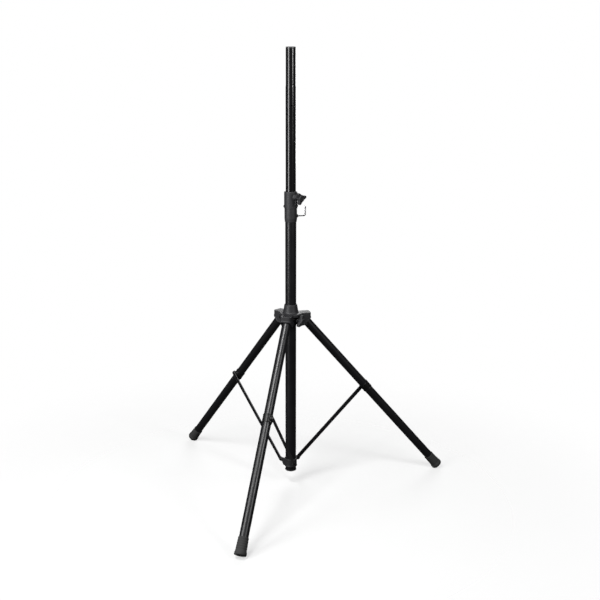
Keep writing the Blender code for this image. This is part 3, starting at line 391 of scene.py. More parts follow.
def lathe(profile, sides, closed=False, soft=0.0):
    """A profile of (radius, height) points turned about Z, with its sharp rings rounded if asked."""
    outline = steady(profile)
    if not closed:
        outline = outline[:outline.index(profile[-1]) + 1]
    bm = bmesh.new()
    corners = [bm.verts.new((radius, 0, height)) for radius, height in outline]
    ends = corners[1:] + ([corners[0]] if closed else [])
    edges = [bm.edges.new(pair) for pair in zip(corners, ends)]
    bmesh.ops.spin(
        bm, geom=corners + edges, cent=(0, 0, 0), axis=(0, 0, 1), dvec=(0, 0, 0),
        angle=math.tau, steps=sides, use_merge=True, use_duplicate=False,
    )
    bmesh.ops.remove_doubles(bm, verts=bm.verts, dist=1e-6)
    bmesh.ops.recalc_face_normals(bm, faces=bm.faces)
    return soften(bm, soft) if soft else bm


def soften(bm, width, segments=2, limit=30.0):
    """Rounds every edge sharper than the limit, in degrees."""
    bm.normal_update()
    sharp = [edge for edge in bm.edges if edge.calc_face_angle(0) > math.radians(limit)]
    bmesh.ops.bevel(
        bm, geom=sharp, offset=width, affect="EDGES", segments=segments, profile=0.5, material=-1,
        clamp_overlap=True,
    )
    return bm


def rod(radius, low, high, sides=48, soft=0.0):
    return lathe([(0, low), (radius, low), (radius, high), (0, high)], sides, soft=soft)


def pipe(inner, outer, low, high, sides=96, soft=0.0004):
    return lathe([(inner, low), (outer, low), (outer, high), (inner, high)], sides, closed=True, soft=soft)


def slab(outline, low, high, axis="Y"):
    """An outline pushed into a solid: (x, z) points pushed along Y, or (x, y) points along Z."""
    bm = bmesh.new()
    corners = [bm.verts.new((x, low, z) if axis == "Y" else (x, z, low)) for x, z in outline]
    pushed = bmesh.ops.extrude_face_region(bm, geom=[bm.faces.new(corners)])
    moved = [item for item in pushed["geom"] if isinstance(item, bmesh.types.BMVert)]
    depth = high - low
    bmesh.ops.translate(bm, verts=moved, vec=(0, depth, 0) if axis == "Y" else (0, 0, depth))
    bmesh.ops.recalc_face_normals(bm, faces=bm.faces)
    return bm


def frame_flats(bm, width):
    """Insets the wide flat faces, so that edge wear stays at their rims."""
    large = [face for face in bm.faces if face.calc_area() > 2 * width * face.calc_perimeter()]
    bmesh.ops.inset_individual(bm, faces=large, thickness=width, depth=0.0, use_even_offset=True)
    return bm


def arc(x, z, radius, start, stop, steps=16):
    """Points on an arc, from one angle to another in degrees."""
    angles = [math.radians(start + (stop - start) * step / steps) for step in range(steps + 1)]
    return [(x + radius * math.cos(angle), z + radius * math.sin(angle)) for angle in angles]


def towards(direction, start=Vector((0, 0, 0))):
    """The place and turn of something made about Z that should point along a direction."""
    return Matrix.Translation(start) @ AXIS_Z.rotation_difference(direction).to_matrix().to_4x4()


def placed(bm, matrix):
    bm.transform(matrix)
    return bm


def radial(angle):
    return Vector((math.cos(angle), math.sin(angle), 0))


def out_at(angle, height):
    """The place of something made about Z that points out from the pole at a height."""
    return towards(radial(angle), Vector((0, 0, height)))


def leg_turn(azimuth):
    return Matrix.Rotation(math.radians(azimuth), 4, "Z")


def leg_place(azimuth):
    """On a leg's hub pivot: x square out of the leg, -z down along it."""
    pivot = Matrix.Translation((PIVOT_DISTANCE, 0, HUB_PIVOT))
    return leg_turn(azimuth) @ pivot @ Matrix.Rotation(-LEG_ANGLE, 4, "Y")


def on_leg(bm):
    return placed(bm, Matrix.Translation((LEG_OFFSET, 0, 0)))


def held(name, bm):
    """A working object that is removed once its shape has been read."""
    mesh = bpy.data.meshes.new(name)
    bm.to_mesh(mesh)
    bm.free()
    piece = bpy.data.objects.new(name, mesh)
    bpy.context.scene.collection.objects.link(piece)
    return piece


def read_back(piece):
    bm = bmesh.new()
    bm.from_object(piece, bpy.context.evaluated_depsgraph_get())
    return bm


def drop(pieces):
    for piece in pieces:
        mesh = piece.data
        bpy.data.objects.remove(piece, do_unlink=True)
        bpy.data.meshes.remove(mesh)


def carve(bm, cutters):
    """Takes a list of solid cutters out of a solid."""
    piece = held("carved", bm)
    tools = [held("cutter", cutter) for cutter in cutters]
    for tool in tools:
        step = piece.modifiers.new("Cut", "BOOLEAN")
        step.operation = "DIFFERENCE"
        step.solver = "EXACT"
        step.object = tool
    result = read_back(piece)
    drop([piece, *tools])
    bmesh.ops.remove_doubles(result, verts=result.verts, dist=1e-6)
    return result


def mould(parts, cutters, grid, smooth=3):
    """Fuses solids into one moulded skin with small fillets, less the cutters."""
    whole = bmesh.new()
    for part in parts:
        cut_part = carve(part, [cutter.copy() for cutter in cutters])
        mesh = bpy.data.meshes.new("part")
        cut_part.to_mesh(mesh)
        cut_part.free()
        whole.from_mesh(mesh)
        bpy.data.meshes.remove(mesh)
    for cutter in cutters:
        cutter.free()
    body = held("moulding", whole)
    skin = body.modifiers.new("Skin", "REMESH")
    skin.mode = "VOXEL"
    skin.voxel_size = grid * 1.0
    ease = body.modifiers.new("Ease", "SMOOTH")
    ease.factor = 0.5
    ease.iterations = smooth
    result = read_back(body)
    drop([body])
    return result


def mark_edges(mesh, bm):
    """Stores how far each narrow face stands out from its neighbours, for the finishes' wear."""
    bm.normal_update()
    values = []
    for face in bm.faces:
        bend = max(edge.calc_face_angle_signed(0) for edge in face.edges)
        narrow = face.calc_area() < 0.0004 * face.calc_perimeter()
        values.append(min(1.0, max(0.0, bend / 0.5 - 0.28)) if narrow else 0.0)
    layer = mesh.attributes.new("edge", "FLOAT", "FACE")
    layer.data.foreach_set("value", values)


def complete(name, bm, body, slot, *nodes, sharp=SHARP):
    """Makes the finished piece, on its body and in place of its nodes."""
    bm.transform(POLE_PLACE)
    bmesh.ops.dissolve_degenerate(bm, edges=bm.edges, dist=1e-7)
    mesh = bpy.data.meshes.new(name)
    bm.to_mesh(mesh)
    mark_edges(mesh, bm)
    bm.free()
    mesh.materials.append(finish_for(slot))
    mesh.shade_smooth()
    mesh.set_sharp_from_angle(angle=math.radians(sharp))
    piece = bpy.data.objects.new(name, mesh)
    bpy.context.scene.collection.objects.link(piece)
    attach(piece, body)
    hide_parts(*nodes)
    return piece


# Pieces ----------------------------------------------------------------------------------


def pole_tube(sizes):
    radius = sizes.pole_radius
    tube = pipe(radius - sizes.tube_wall, radius, POLE_BOTTOM, POLE_TOP, sizes.round_sides)
    pin = placed(rod(sizes.pin_radius + GAP, 0, 0.04), out_at(PIN_SIDE, PIN_HEIGHT))
    screws = placed(rod(SCREW_HOLE, -0.04, 0.04), out_at(PIN_SIDE, SCREW_HEIGHT))
    complete("pole_tube", carve(tube, [pin, screws]), "pole", "black_powder_coat", "lower_tube")


def pole_cap(sizes):
    top = POLE_BOTTOM - GAP
    plug = sizes.pole_radius - sizes.tube_wall - GAP
    profile = [
        (0, top - 0.0047), (0.008, top - 0.0055), (0.0175, top - 0.0055), (0.0203, top - 0.0043),
        (0.0215, top - 0.0025), (0.0215, top), (plug, top), (plug, top + 0.022),
        (plug - 0.0015, top + 0.0236), (0.0145, top + 0.0236), (0.0145, top + 0.003), (0, top + 0.003),
    ]
    complete("pole_foot_cap", lathe(profile, 72, soft=0.0003), "pole", "black_nylon_moulding", "base_end_cap")


def base_collar(sizes):
    """A moulded ring with a beaded rim and three ribbed lugs."""
    bottom, top = BASE_PIVOT - 0.0215, BASE_PIVOT + 0.010
    body = lathe([
        (0, bottom), (0.0232, bottom), (0.024, bottom + 0.0012), (0.024, bottom + 0.0045),
        (0.0231, bottom + 0.0053), (0.0231, top - 0.0045), (0.024, top - 0.0037), (0.024, top - 0.001),
        (0.0232, top), (0, top),
    ], 72)
    parts, cutters = [body], [rod(sizes.pole_radius + GAP, bottom - 0.01, top + 0.01, sizes.round_sides)]
    for azimuth in LEG_AZIMUTHS:
        turn = leg_turn(azimuth)
        lug = [
            (0.012, BASE_PIVOT - EAR_RADIUS), *arc(PIVOT_DISTANCE, BASE_PIVOT, EAR_RADIUS, -90, 90),
            (0.012, BASE_PIVOT + EAR_RADIUS),
        ]
        parts.append(placed(slab(lug, EAR_BOTTOM, EAR_TOP), turn))
        web = [(0.010, bottom + 0.001), (0.022, bottom + 0.001),
               (0.031, BASE_PIVOT - 0.006), (0.010, BASE_PIVOT)]
        parts.append(placed(slab(web, EAR_BOTTOM + 0.0004, EAR_TOP - 0.0004), turn))
        hole = towards(AXIS_Y, Vector((PIVOT_DISTANCE, 0, BASE_PIVOT)))
        cutters.append(placed(rod(RIVET_RADIUS + GAP, 0.010, 0.03), turn @ hole))
    complete("base_collar_moulding", mould(parts, cutters, sizes.skin * 0.7), "pole",
             "black_nylon_moulding", "base_collar", sharp=MOULDED_SHARP)


def rivet(tail):
    """A domed rivet along Y, with its washer face on the brace."""
    head = BRACE_SIDE + 0.0015 + GAP
    profile = [(0, tail)]
    if tail < EAR_BOTTOM - GAP:
        profile += [(0.0030, tail), (0.0036, tail + 0.0006),
                    (0.0036, EAR_BOTTOM - GAP), (RIVET_RADIUS, EAR_BOTTOM - GAP)]
    else:
        profile.append((RIVET_RADIUS, tail))
    profile += [
        (RIVET_RADIUS, head), (0.005, head), (0.005, head + 0.0006), (0.0041, head + 0.0008),
        (0.0038, head + 0.0013), (0.0028, head + 0.0019), (0.0012, head + 0.0022), (0, head + 0.0022),
    ]
    return placed(lathe(profile, 40, soft=0.00012), towards(AXIS_Y))


def base_rivets():
    for name, azimuth in zip(LEG_NAMES, LEG_AZIMUTHS):
        place = leg_turn(azimuth) @ Matrix.Translation((PIVOT_DISTANCE, 0, BASE_PIVOT))
        complete(f"base_rivet_dome_{name}", placed(rivet(EAR_BOTTOM - GAP - 0.001), place), "pole",
                 "black_zinc", f"base_rivet_{name}")


def mast_tube(sizes):
    """The sliding tube: a cone up to its thinner spigot, and cross holes for the locking pin."""
    wall, radius, spigot = sizes.tube_wall, sizes.mast_radius, sizes.spigot_radius
    shoulder = MAST_TOP - SPIGOT_LENGTH
    profile = [
        (radius - wall, MAST_BOTTOM), (radius, MAST_BOTTOM), (radius, shoulder - 0.004), (spigot, shoulder),
        (spigot, MAST_TOP), (spigot - wall, MAST_TOP), (spigot - wall, shoulder),
        (radius - wall, shoulder - 0.004),
    ]
    holes = [
        placed(rod(PIN_HOLE, -0.03, 0.03), out_at(PIN_HOLE_AZIMUTH, MAST_TOP - fall))
        for fall in PIN_HOLE_DROPS
    ]
    tube = carve(lathe(profile, sizes.round_sides, closed=True, soft=0.0003), holes)
    complete("sliding_mast", tube, "mast", "mast_gloss_black", "mast_tube", sharp=20)


def mast_cap(sizes):
    bottom = MAST_TOP + GAP
    plug = sizes.spigot_radius - sizes.tube_wall - GAP
    top = bottom + 0.0025
    profile = [
        (0, bottom - 0.015), (plug - 0.001, bottom - 0.015), (plug, bottom - 0.014), (plug, bottom),
        (sizes.spigot_radius, bottom), (sizes.spigot_radius, top - 0.0015),
        (sizes.spigot_radius - 0.0015, top), (0.0125, top), (0.012, top - 0.0005), (0.004, top - 0.0005),
        (0.0035, top), (0, top),
    ]
    cap = lathe(profile, 72, soft=0.0002)
    complete("mast_cap_moulding", cap, "mast", "black_nylon_moulding", "mast_top_cap")


def screw_bore(start, reach, insert_length=0.006, web=0.002):
    """Room for a pad, a stud and a threaded insert, about Z."""
    insert_start = reach - insert_length
    pad, stud, insert = 0.0065, 0.0043, 0.0065
    return lathe([
        (0, start), (pad, start), (pad, insert_start - web), (stud, insert_start - web),
        (stud, insert_start - GAP), (insert, insert_start - GAP), (insert, reach + 0.01), (0, reach + 0.01),
    ], 48)


def clamp_collar(sizes):
    """The moulded clamp: a tapered skirt, a thicker head above the seam, and its two bosses."""
    low_radius, high_radius = 0.0226, 0.0238
    body = lathe([
        (0, COLLAR_BOTTOM), (sizes.pole_radius + 0.0012, COLLAR_BOTTOM), (low_radius, COLLAR_BOTTOM + 0.0125),
        (low_radius, COLLAR_SEAM - 0.001), (low_radius - 0.0009, COLLAR_SEAM - 0.0007),
        (low_radius - 0.0009, COLLAR_SEAM + 0.0006), (high_radius, COLLAR_SEAM + 0.0009),
        (high_radius, COLLAR_TOP - 0.002), (high_radius - 0.002, COLLAR_TOP), (0, COLLAR_TOP),
    ], 96)
    screw_place = out_at(SCREW_SIDE, CLAMP_HEIGHT)
    pin_place = out_at(PIN_SIDE, PIN_HEIGHT)
    boss = placed(lathe([(0, 0.018), (0.0118, 0.018), (0.0100, 0.026), (0.0095, CLAMP_REACH - 0.0006),
                         (0.0089, CLAMP_REACH), (0, CLAMP_REACH)], 64), screw_place)
    pin_boss = placed(lathe([(0, 0.019), (0.0072, 0.0215), (0.0058, 0.0245), (0.0058, 0.0265),
                             (0.0053, 0.027), (0, 0.027)], 48), pin_place)
    gusset = [(0.020, CLAMP_HEIGHT - 0.0335), (0.0232, CLAMP_HEIGHT - 0.0335),
              (0.0325, CLAMP_HEIGHT - 0.006), (0.020, CLAMP_HEIGHT - 0.006)]
    rib = placed(slab(gusset, -0.0022, 0.0022), Matrix.Rotation(SCREW_SIDE, 4, "Z"))
    shoulder = POLE_TOP + GAP
    bore = lathe([
        (0, COLLAR_BOTTOM - 0.01), (sizes.pole_radius + GAP, COLLAR_BOTTOM - 0.01),
        (sizes.pole_radius + GAP, shoulder),
        (COLLAR_BUSH_RADIUS + GAP, shoulder), (COLLAR_BUSH_RADIUS + GAP, COLLAR_TOP - 0.003),
        (sizes.mast_radius + 2 * GAP, COLLAR_TOP - 0.003), (sizes.mast_radius + 2 * GAP, COLLAR_TOP + 0.01),
        (0, COLLAR_TOP + 0.01),
    ], 96)
    pin_hole = placed(rod(sizes.pin_radius + GAP, -0.04, 0.04), pin_place)
    screw_hole = placed(rod(SCREW_HOLE, -0.04, 0.04), out_at(PIN_SIDE, SCREW_HEIGHT))
    cutters = [bore, placed(screw_bore(0.0142, CLAMP_REACH), screw_place), pin_hole, screw_hole]
    collar = mould([body, boss, pin_boss, rib], cutters, sizes.skin * 0.8)
    complete("clamp_collar_moulding", collar, "pole", "black_nylon_moulding", "clamp_collar",
             sharp=MOULDED_SHARP)


def collar_screws():
    """Pan-head screws with a plain slot."""
    start = 0.0241
    profile = [(0, 0.0191), (0.0022, 0.0191), (0.0022, start), (0.0042, start), (0.0042, start + 0.001),
               (0.0036, start + 0.002), (0.0022, start + 0.0026), (0, start + 0.0027)]
    for number, azimuth in enumerate((30.0, 210.0), 1):
        slot = slab([(-0.0005, -0.005), (0.0005, -0.005), (0.0005, 0.005), (-0.0005, 0.005)],
                    start + 0.0014, start + 0.004, "Z")
        screw = carve(lathe(profile, 40, soft=0.00012), [slot])
        placed(screw, out_at(math.radians(azimuth), SCREW_HEIGHT))
        complete(f"pan_screw_{number}", screw, "pole", "black_zinc", f"collar_screw_{number}")


def locking_pin(sizes):
    """Bent wire: a straight shaft, a round bend and an upright handle with a rounded end."""
    bm = bmesh.new()
    start = sizes.pole_radius - sizes.tube_wall + GAP
    ring = bmesh.ops.create_circle(
        bm, radius=sizes.pin_radius, segments=24, cap_ends=False,
        matrix=towards(AXIS_X, Vector((start, 0, 0))),
    )
    edges = list({edge for corner in ring["verts"] for edge in corner.link_edges})
    rim = list(edges)
    for reach in (0.002, PIN_REACH - start - 0.002):
        edges = drawn(bm, edges, Vector((reach, 0, 0)))
    bend = bmesh.ops.spin(
        bm, geom=edges, cent=(PIN_REACH, 0, PIN_BEND), axis=(0, -1, 0), dvec=(0, 0, 0),
        angle=math.radians(90), steps=16, use_duplicate=False,
    )
    edges = [item for item in bend["geom_last"] if isinstance(item, bmesh.types.BMEdge)]
    for reach in (PIN_HANDLE - PIN_BEND - 0.002, 0.002):
        edges = drawn(bm, edges, Vector((0, 0, reach)))
    for end in (rim, edges):
        bmesh.ops.contextual_create(bm, geom=end)
    bmesh.ops.recalc_face_normals(bm, faces=bm.faces)
    soften(bm, sizes.pin_radius * 0.45, 4, 60)
    place = Matrix.Translation((0, 0, PIN_HEIGHT)) @ Matrix.Rotation(PIN_SIDE, 4, "Z")
    complete("bent_wire_pin", placed(bm, place), "locking_pin", "pin_chrome", "locking_pin")


def drawn(bm, edges, step):
    """Draws a ring of edges on by one step, and returns its new ring."""
    pulled = bmesh.ops.extrude_edge_only(bm, edges=edges)["geom"]
    corners = [item for item in pulled if isinstance(item, bmesh.types.BMVert)]
    bmesh.ops.translate(bm, verts=corners, vec=step)
    edges = [item for item in pulled if isinstance(item, bmesh.types.BMEdge)]
    return [edge for edge in edges if set(edge.verts) <= set(corners)]


def knob(prefix, node, height, reach, lobe_reach, turn, sizes):
    """A three-lobed hand knob: necked hub, tapering wings and a shallow dish in its face."""
    neck, face = reach + 0.002, reach + 0.010
    thick = 0.016
    core = lathe([
        (0, neck), (0.0088, neck), (0.0095, neck + 0.0008), (0.0095, face - 0.002), (0.0125, face + 0.001),
        (0.0125, face + thick - 0.003), (0.0105, face + thick - 0.0004), (0, face + thick),
    ], 64)
    parts = [core]
    for number in range(3):
        tip = 0.0052
        wing = slab([(0, -0.0115), *arc(lobe_reach - tip, 0, tip, -75, 75), (0, 0.0115)],
                    face + 0.0008, face + thick * 0.8, "Z")
        spread = Matrix.Rotation(math.radians(120 * number + turn), 4, "Z")
        parts.append(placed(soften(wing, 0.0018, 3, 50), spread))
    stud_end = face + thick / 2
    dish = lathe([(0, face + thick - 0.0012), (0.0072, face + thick - 0.0008), (0.0076, face + thick + 0.004),
                  (0, face + thick + 0.004)], 48)
    cutters = [rod(BOLT_HOLE, neck - 0.01, stud_end + GAP), dish]
    grip = placed(mould(parts, cutters, sizes.skin * 0.62), out_at(SCREW_SIDE, height))
    complete(f"{prefix}_hand_knob", grip, f"{prefix}_knob_and_stud", "black_nylon_moulding", node,
             sharp=MOULDED_SHARP)


def stud(prefix, node, height, start, reach):
    """A threaded stud: grooves at the thread's pitch."""
    end, pitch, depth = reach + 0.018, 0.00125, 0.0006
    turns = int((end - start - 0.002) / pitch)
    first = start + 0.001
    profile = [(0, start), (0.0033, start), (0.004, first)]
    for turn in range(turns):
        profile += [(0.004, first + pitch * (turn + 0.3)), (0.004 - depth, first + pitch * (turn + 0.5)),
                    (0.004, first + pitch * (turn + 0.7))]
    profile += [(0.004, end - 0.0007), (0.0033, end), (0, end)]
    threaded = placed(lathe(profile, 32), out_at(SCREW_SIDE, height))
    complete(f"{prefix}_threaded_stud", threaded, f"{prefix}_knob_and_stud", "black_zinc", node)


def round_nose(bm, nose, radius, segments):
    """Rounds the upright edges of a block's nose, where x is nose."""
    upright = [
        edge for edge in bm.edges
        if all(abs(corner.co.x - nose) < 1e-5 for corner in edge.verts)
        and abs(edge.verts[0].co.z - edge.verts[1].co.z) > 1e-4
    ]
    bmesh.ops.bevel(
        bm, geom=upright, offset=radius, affect="EDGES", segments=segments, profile=0.5, material=-1)
    return bm


def hub_lobe(grow, high):
    """A lobe's block with a round nose. Its underside rises from the knee to the nose."""
    half = HUB_CHANNEL + HUB_CHEEK + grow
    reach = HUB_REACH + grow
    bm = slab([(0, HUB_LOW), (HUB_KNEE, HUB_LOW), (reach, HUB_HIGH - HUB_NOSE_HEIGHT),
               (reach, high(reach)), (HUB_KNEE, high(HUB_KNEE)), (0, high(0))], -half, half)
    return round_nose(bm, reach, 0.008, 8)


def hub_channel():
    """The space under a lobe for the leg's head."""
    outer, inner, roof = HUB_REACH - HUB_NOSE_WALL, HUB_CORE + GAP, HUB_HIGH - HUB_ROOF
    bm = slab([(inner, HUB_LOW - 0.02), (outer, HUB_LOW - 0.02), (outer, roof), (inner, roof)],
              -HUB_CHANNEL, HUB_CHANNEL)
    return round_nose(bm, outer, 0.005, 6)


def hub_lip_top(radius):
    """Height of the lip's upper edge: level under the core, then rising with the underside."""
    rise = max(0.0, radius - HUB_KNEE) / (HUB_REACH - HUB_KNEE)
    return HUB_LOW + 0.0032 + rise * (HUB_HIGH - HUB_NOSE_HEIGHT - HUB_LOW)


def hub(sizes):
    """The sliding hub: a collar with a conical neck, a plate, three lipped lobes and a boss."""
    neck_top = HUB_HIGH + HUB_NECK
    plate = 0.011
    column = lathe([
        (0, HUB_LOW), (HUB_CORE, HUB_LOW), (HUB_CORE, HUB_HIGH - plate), (0.043, HUB_HIGH - plate),
        (0.043, HUB_HIGH - 0.002), (0.041, HUB_HIGH), (0.0310, HUB_HIGH + 0.0004), (0.0290, HUB_HIGH + 0.002),
        (0.0278, HUB_HIGH + 0.0045), (0.0272, HUB_HIGH + 0.008), (0.0242, neck_top - 0.006),
        (0.0237, neck_top - 0.002), (0.0222, neck_top), (0, neck_top),
    ], 96)
    screw_place = out_at(SCREW_SIDE, HUB_PIVOT - LOCK_DROP)
    boss = placed(lathe([(0, 0.021), (0.0112, 0.021), (0.0098, 0.030), (0.0095, LOCK_REACH - 0.0006),
                         (0.0089, LOCK_REACH), (0, LOCK_REACH)], 64), screw_place)
    parts = [column, boss]
    bore = lathe([
        (0, HUB_LOW - 0.01), (HUB_BORE, HUB_LOW - 0.01), (HUB_BORE, neck_top - 0.003),
        (sizes.pole_radius + 2 * GAP, neck_top - 0.003), (sizes.pole_radius + 2 * GAP, neck_top + 0.01),
        (0, neck_top + 0.01),
    ], 96)
    cutters = [bore, placed(screw_bore(0.016, LOCK_REACH), screw_place)]
    half = HUB_CHANNEL + HUB_CHEEK
    for azimuth in LEG_AZIMUTHS:
        turn = leg_turn(azimuth)
        block = soften(hub_lobe(0.0, lambda radius: HUB_HIGH - 0.0001), 0.0014, 3, 50)
        parts.append(placed(block, turn))
        parts.append(placed(hub_lobe(0.0009, hub_lip_top), turn))
        pivot = turn @ towards(AXIS_Y, Vector((PIVOT_DISTANCE, 0, HUB_PIVOT)))
        parts.append(placed(rod(0.0082, -half - 0.0001, half + 0.0001), pivot))
        cutters.append(placed(hub_channel(), turn))
        cutters.append(placed(rod(BOLT_HOLE, -2 * half, 2 * half), pivot))
    body = mould(parts, cutters, sizes.skin)
    complete("sliding_hub", body, "hub", "black_nylon_moulding", "hub_body", sharp=MOULDED_SHARP)


def leg_bolts():
    """A socket-head bolt and a domed lock nut for each leg."""
    cheek = HUB_CHANNEL + HUB_CHEEK
    start, nut_end, thick = cheek + GAP, -cheek - GAP, 0.0042
    profile = [
        (0, nut_end - thick - 0.001), (0.0034, nut_end - thick - 0.001), (0.004, nut_end - thick - 0.0004),
        (0.004, start), (0.0058, start), (0.0058, start + 0.0024), (0.0052, start + 0.0036),
        (0.0041, start + thick), (0, start + thick),
    ]
    for name, azimuth in zip(LEG_NAMES, LEG_AZIMUTHS):
        place = leg_turn(azimuth) @ towards(AXIS_Y, Vector((PIVOT_DISTANCE, 0, HUB_PIVOT)))
        bolt = carve(lathe(profile, 40, soft=0.0002), [rod(0.0027, start + 0.0018, start + 0.01, 6)])
        complete(f"socket_bolt_{name}", placed(bolt, place), "hub", "black_zinc", f"leg_bolt_{name}")
        outer = soften(rod(0.0064, nut_end - thick, nut_end, 6), 0.0004, 2, 50)
        nut = carve(outer, [rod(BOLT_HOLE, nut_end - 0.01, nut_end + 0.01)])
        complete(f"lock_nut_{name}", placed(nut, place), "hub", "black_zinc", f"leg_nut_{name}")


def leg_tube(name, azimuth, sizes):
    end = LEG_LENGTH - SOLE_DEPTH
    tube = pipe(sizes.leg_radius - sizes.tube_wall, sizes.leg_radius, -end, -LEG_TUBE_START, 80, 0.0003)
    complete(f"leg_{name}_tube", placed(on_leg(tube), leg_place(azimuth)), f"leg_{name}",
             "black_powder_coat", f"leg_tube_{name}")


def leg_head(name, azimuth, sizes):
    """The plug in a leg's upper end, its flange, and the knuckle that turns on the bolt."""
    low = -LEG_TUBE_START + GAP
    plug = sizes.leg_radius - sizes.tube_wall - GAP
    body = on_leg(lathe([
        (0, -LEG_HEAD_DEPTH), (plug - 0.001, -LEG_HEAD_DEPTH), (plug, -LEG_HEAD_DEPTH + 0.002), (plug, low),
        (sizes.leg_radius, low), (sizes.leg_radius, low + LEG_HEAD_FLANGE), (0, low + LEG_HEAD_FLANGE),
    ], 64))
    wide = LEG_HEAD_HALF_WIDTH
    knuckle = placed(rod(LEG_HEAD_BOSS, -wide, wide), towards(AXIS_Y))
    web = slab([(-0.0045, -0.0045), (0.014, -0.0045), (0.014, 0.0005), (0.004, 0.0062), (-0.002, 0.0062)],
               -wide + 0.0005, wide - 0.0005)
    hole = placed(rod(BOLT_HOLE, -2 * wide, 2 * wide), towards(AXIS_Y))
    head = mould([body, knuckle, web], [hole], sizes.skin * 0.8)
    complete(f"leg_{name}_knuckle", placed(head, leg_place(azimuth)), f"leg_{name}",
             "black_nylon_moulding", f"leg_head_{name}", sharp=MOULDED_SHARP)


def foot(name, azimuth, sizes):
    """A flared rubber boot with grip rings, worn flat where it stands."""
    bore = sizes.leg_radius + GAP
    top = -LEG_LENGTH + sizes.foot_length
    floor = -LEG_LENGTH + SOLE_DEPTH - GAP
    end = -LEG_LENGTH - 0.003
    wide, neck = sizes.foot_radius, bore + 0.0018
    profile = [(0, end), (wide - 0.004, end), (wide - 0.0012, end + 0.0008), (wide, end + 0.003),
               (wide, end + 0.0095), (wide - 0.0008, end + 0.0125), (wide - 0.0015, end + 0.014)]
    steps, rise = 5, (top - 0.006) - (end + 0.014)
    for step in range(steps):
        for share, depth in ((0.45, 0.0), (0.55, 0.0007), (0.80, 0.0007), (0.90, 0.0)):
            along = (step + share) / steps
            radius = wide - 0.0015 + (neck - wide + 0.0015) * along
            profile.append((radius - depth, end + 0.014 + rise * along))
    profile += [(neck, top - 0.005), (neck + 0.0003, top - 0.002), (neck - 0.0008, top), (bore, top),
                (bore, floor), (0, floor)]
    boot = placed(on_leg(lathe(profile, 72, soft=0.00025)), leg_place(azimuth))
    bmesh.ops.bisect_plane(
        boot, geom=boot.verts[:] + boot.edges[:] + boot.faces[:], dist=1e-7,
        plane_co=(0, 0, 0), plane_no=(0, 0, -1), clear_outer=True,
    )
    rim = [edge for edge in boot.edges if edge.is_boundary]
    bmesh.ops.holes_fill(boot, edges=rim, sides=0)
    complete(f"rubber_foot_{name}", boot, f"leg_{name}", "foot_rubber", f"foot_{name}")


def bracket(name, azimuth, sizes):
    """A pressed sleeve round the leg, with rolled rims and a rounded ear for the brace."""
    bore, outer = sizes.leg_radius + GAP, sizes.leg_radius + GAP + 0.002
    low = -BRACE_PIVOT_DOWN - 0.015
    high = low + 0.030
    sleeve = on_leg(lathe([
        (0, low), (outer - 0.0004, low), (outer, low + 0.0005), (outer, low + 0.0022),
        (outer - 0.0006, low + 0.003), (outer - 0.0006, high - 0.003), (outer, high - 0.0022),
        (outer, high - 0.0005), (outer - 0.0004, high), (0, high),
    ], 72))
    pivot = (BRACE_PIVOT_OUT, -BRACE_PIVOT_DOWN)
    ear = slab([(LEG_OFFSET - 0.002, pivot[1] - 0.012), *arc(*pivot, EAR_RADIUS, -60, 60),
                (LEG_OFFSET - 0.002, pivot[1] + 0.012)], EAR_BOTTOM - 0.002, EAR_TOP)
    saddle = slab([(LEG_OFFSET - 0.006, pivot[1] - 0.0125), (LEG_OFFSET + 0.010, pivot[1] - 0.0125),
                   (LEG_OFFSET + 0.010, pivot[1] + 0.0125), (LEG_OFFSET - 0.006, pivot[1] + 0.0125)],
                  EAR_BOTTOM - 0.004, EAR_BOTTOM + 0.0012)
    rivet_place = Matrix.Translation((pivot[0], 0, pivot[1]))
    hole = placed(rod(RIVET_RADIUS + GAP, EAR_BOTTOM - GAP, 0.03), rivet_place @ towards(AXIS_Y))
    cutters = [on_leg(rod(bore, low - 0.01, high + 0.01, 96)), hole]
    body = mould([sleeve, ear, saddle], cutters, sizes.skin * 0.62, 2)
    complete(f"brace_saddle_{name}", placed(body, leg_place(azimuth)), f"leg_{name}", "black_zinc",
             f"brace_bracket_{name}", sharp=MOULDED_SHARP)
    pin = placed(rivet(EAR_BOTTOM), rivet_place)
    complete(f"saddle_rivet_{name}", placed(pin, leg_place(azimuth)), f"leg_{name}", "black_zinc",
             f"bracket_rivet_{name}")


def brace(name, azimuth, sizes):
    """A flat bar with round ends and rolled edges."""
    half, thick = sizes.brace_width / 2, sizes.brace_thickness / 2
    outline = [*arc(0, 0, half, 180, 360, 24), *arc(0, LINK_LENGTH, half, 0, 180, 24)]
    bar = frame_flats(soften(slab(outline, -thick, thick), 0.0007, 3, 50), 0.0015)
    holes = [placed(rod(RIVET_RADIUS + GAP, -0.01, 0.01), towards(AXIS_Y, Vector((0, 0, height))))
             for height in (0, LINK_LENGTH)]
    pivot = Matrix.Translation((PIVOT_DISTANCE, BRACE_SIDE, BASE_PIVOT))
    place = leg_turn(azimuth) @ pivot @ Matrix.Rotation(LINK_ANGLE, 4, "Y")
    complete(f"flat_brace_{name}", placed(carve(bar, holes), place), f"brace_{name}",
             "black_powder_coat", f"brace_bar_{name}")


# Studio ----------------------------------------------------------------------------------


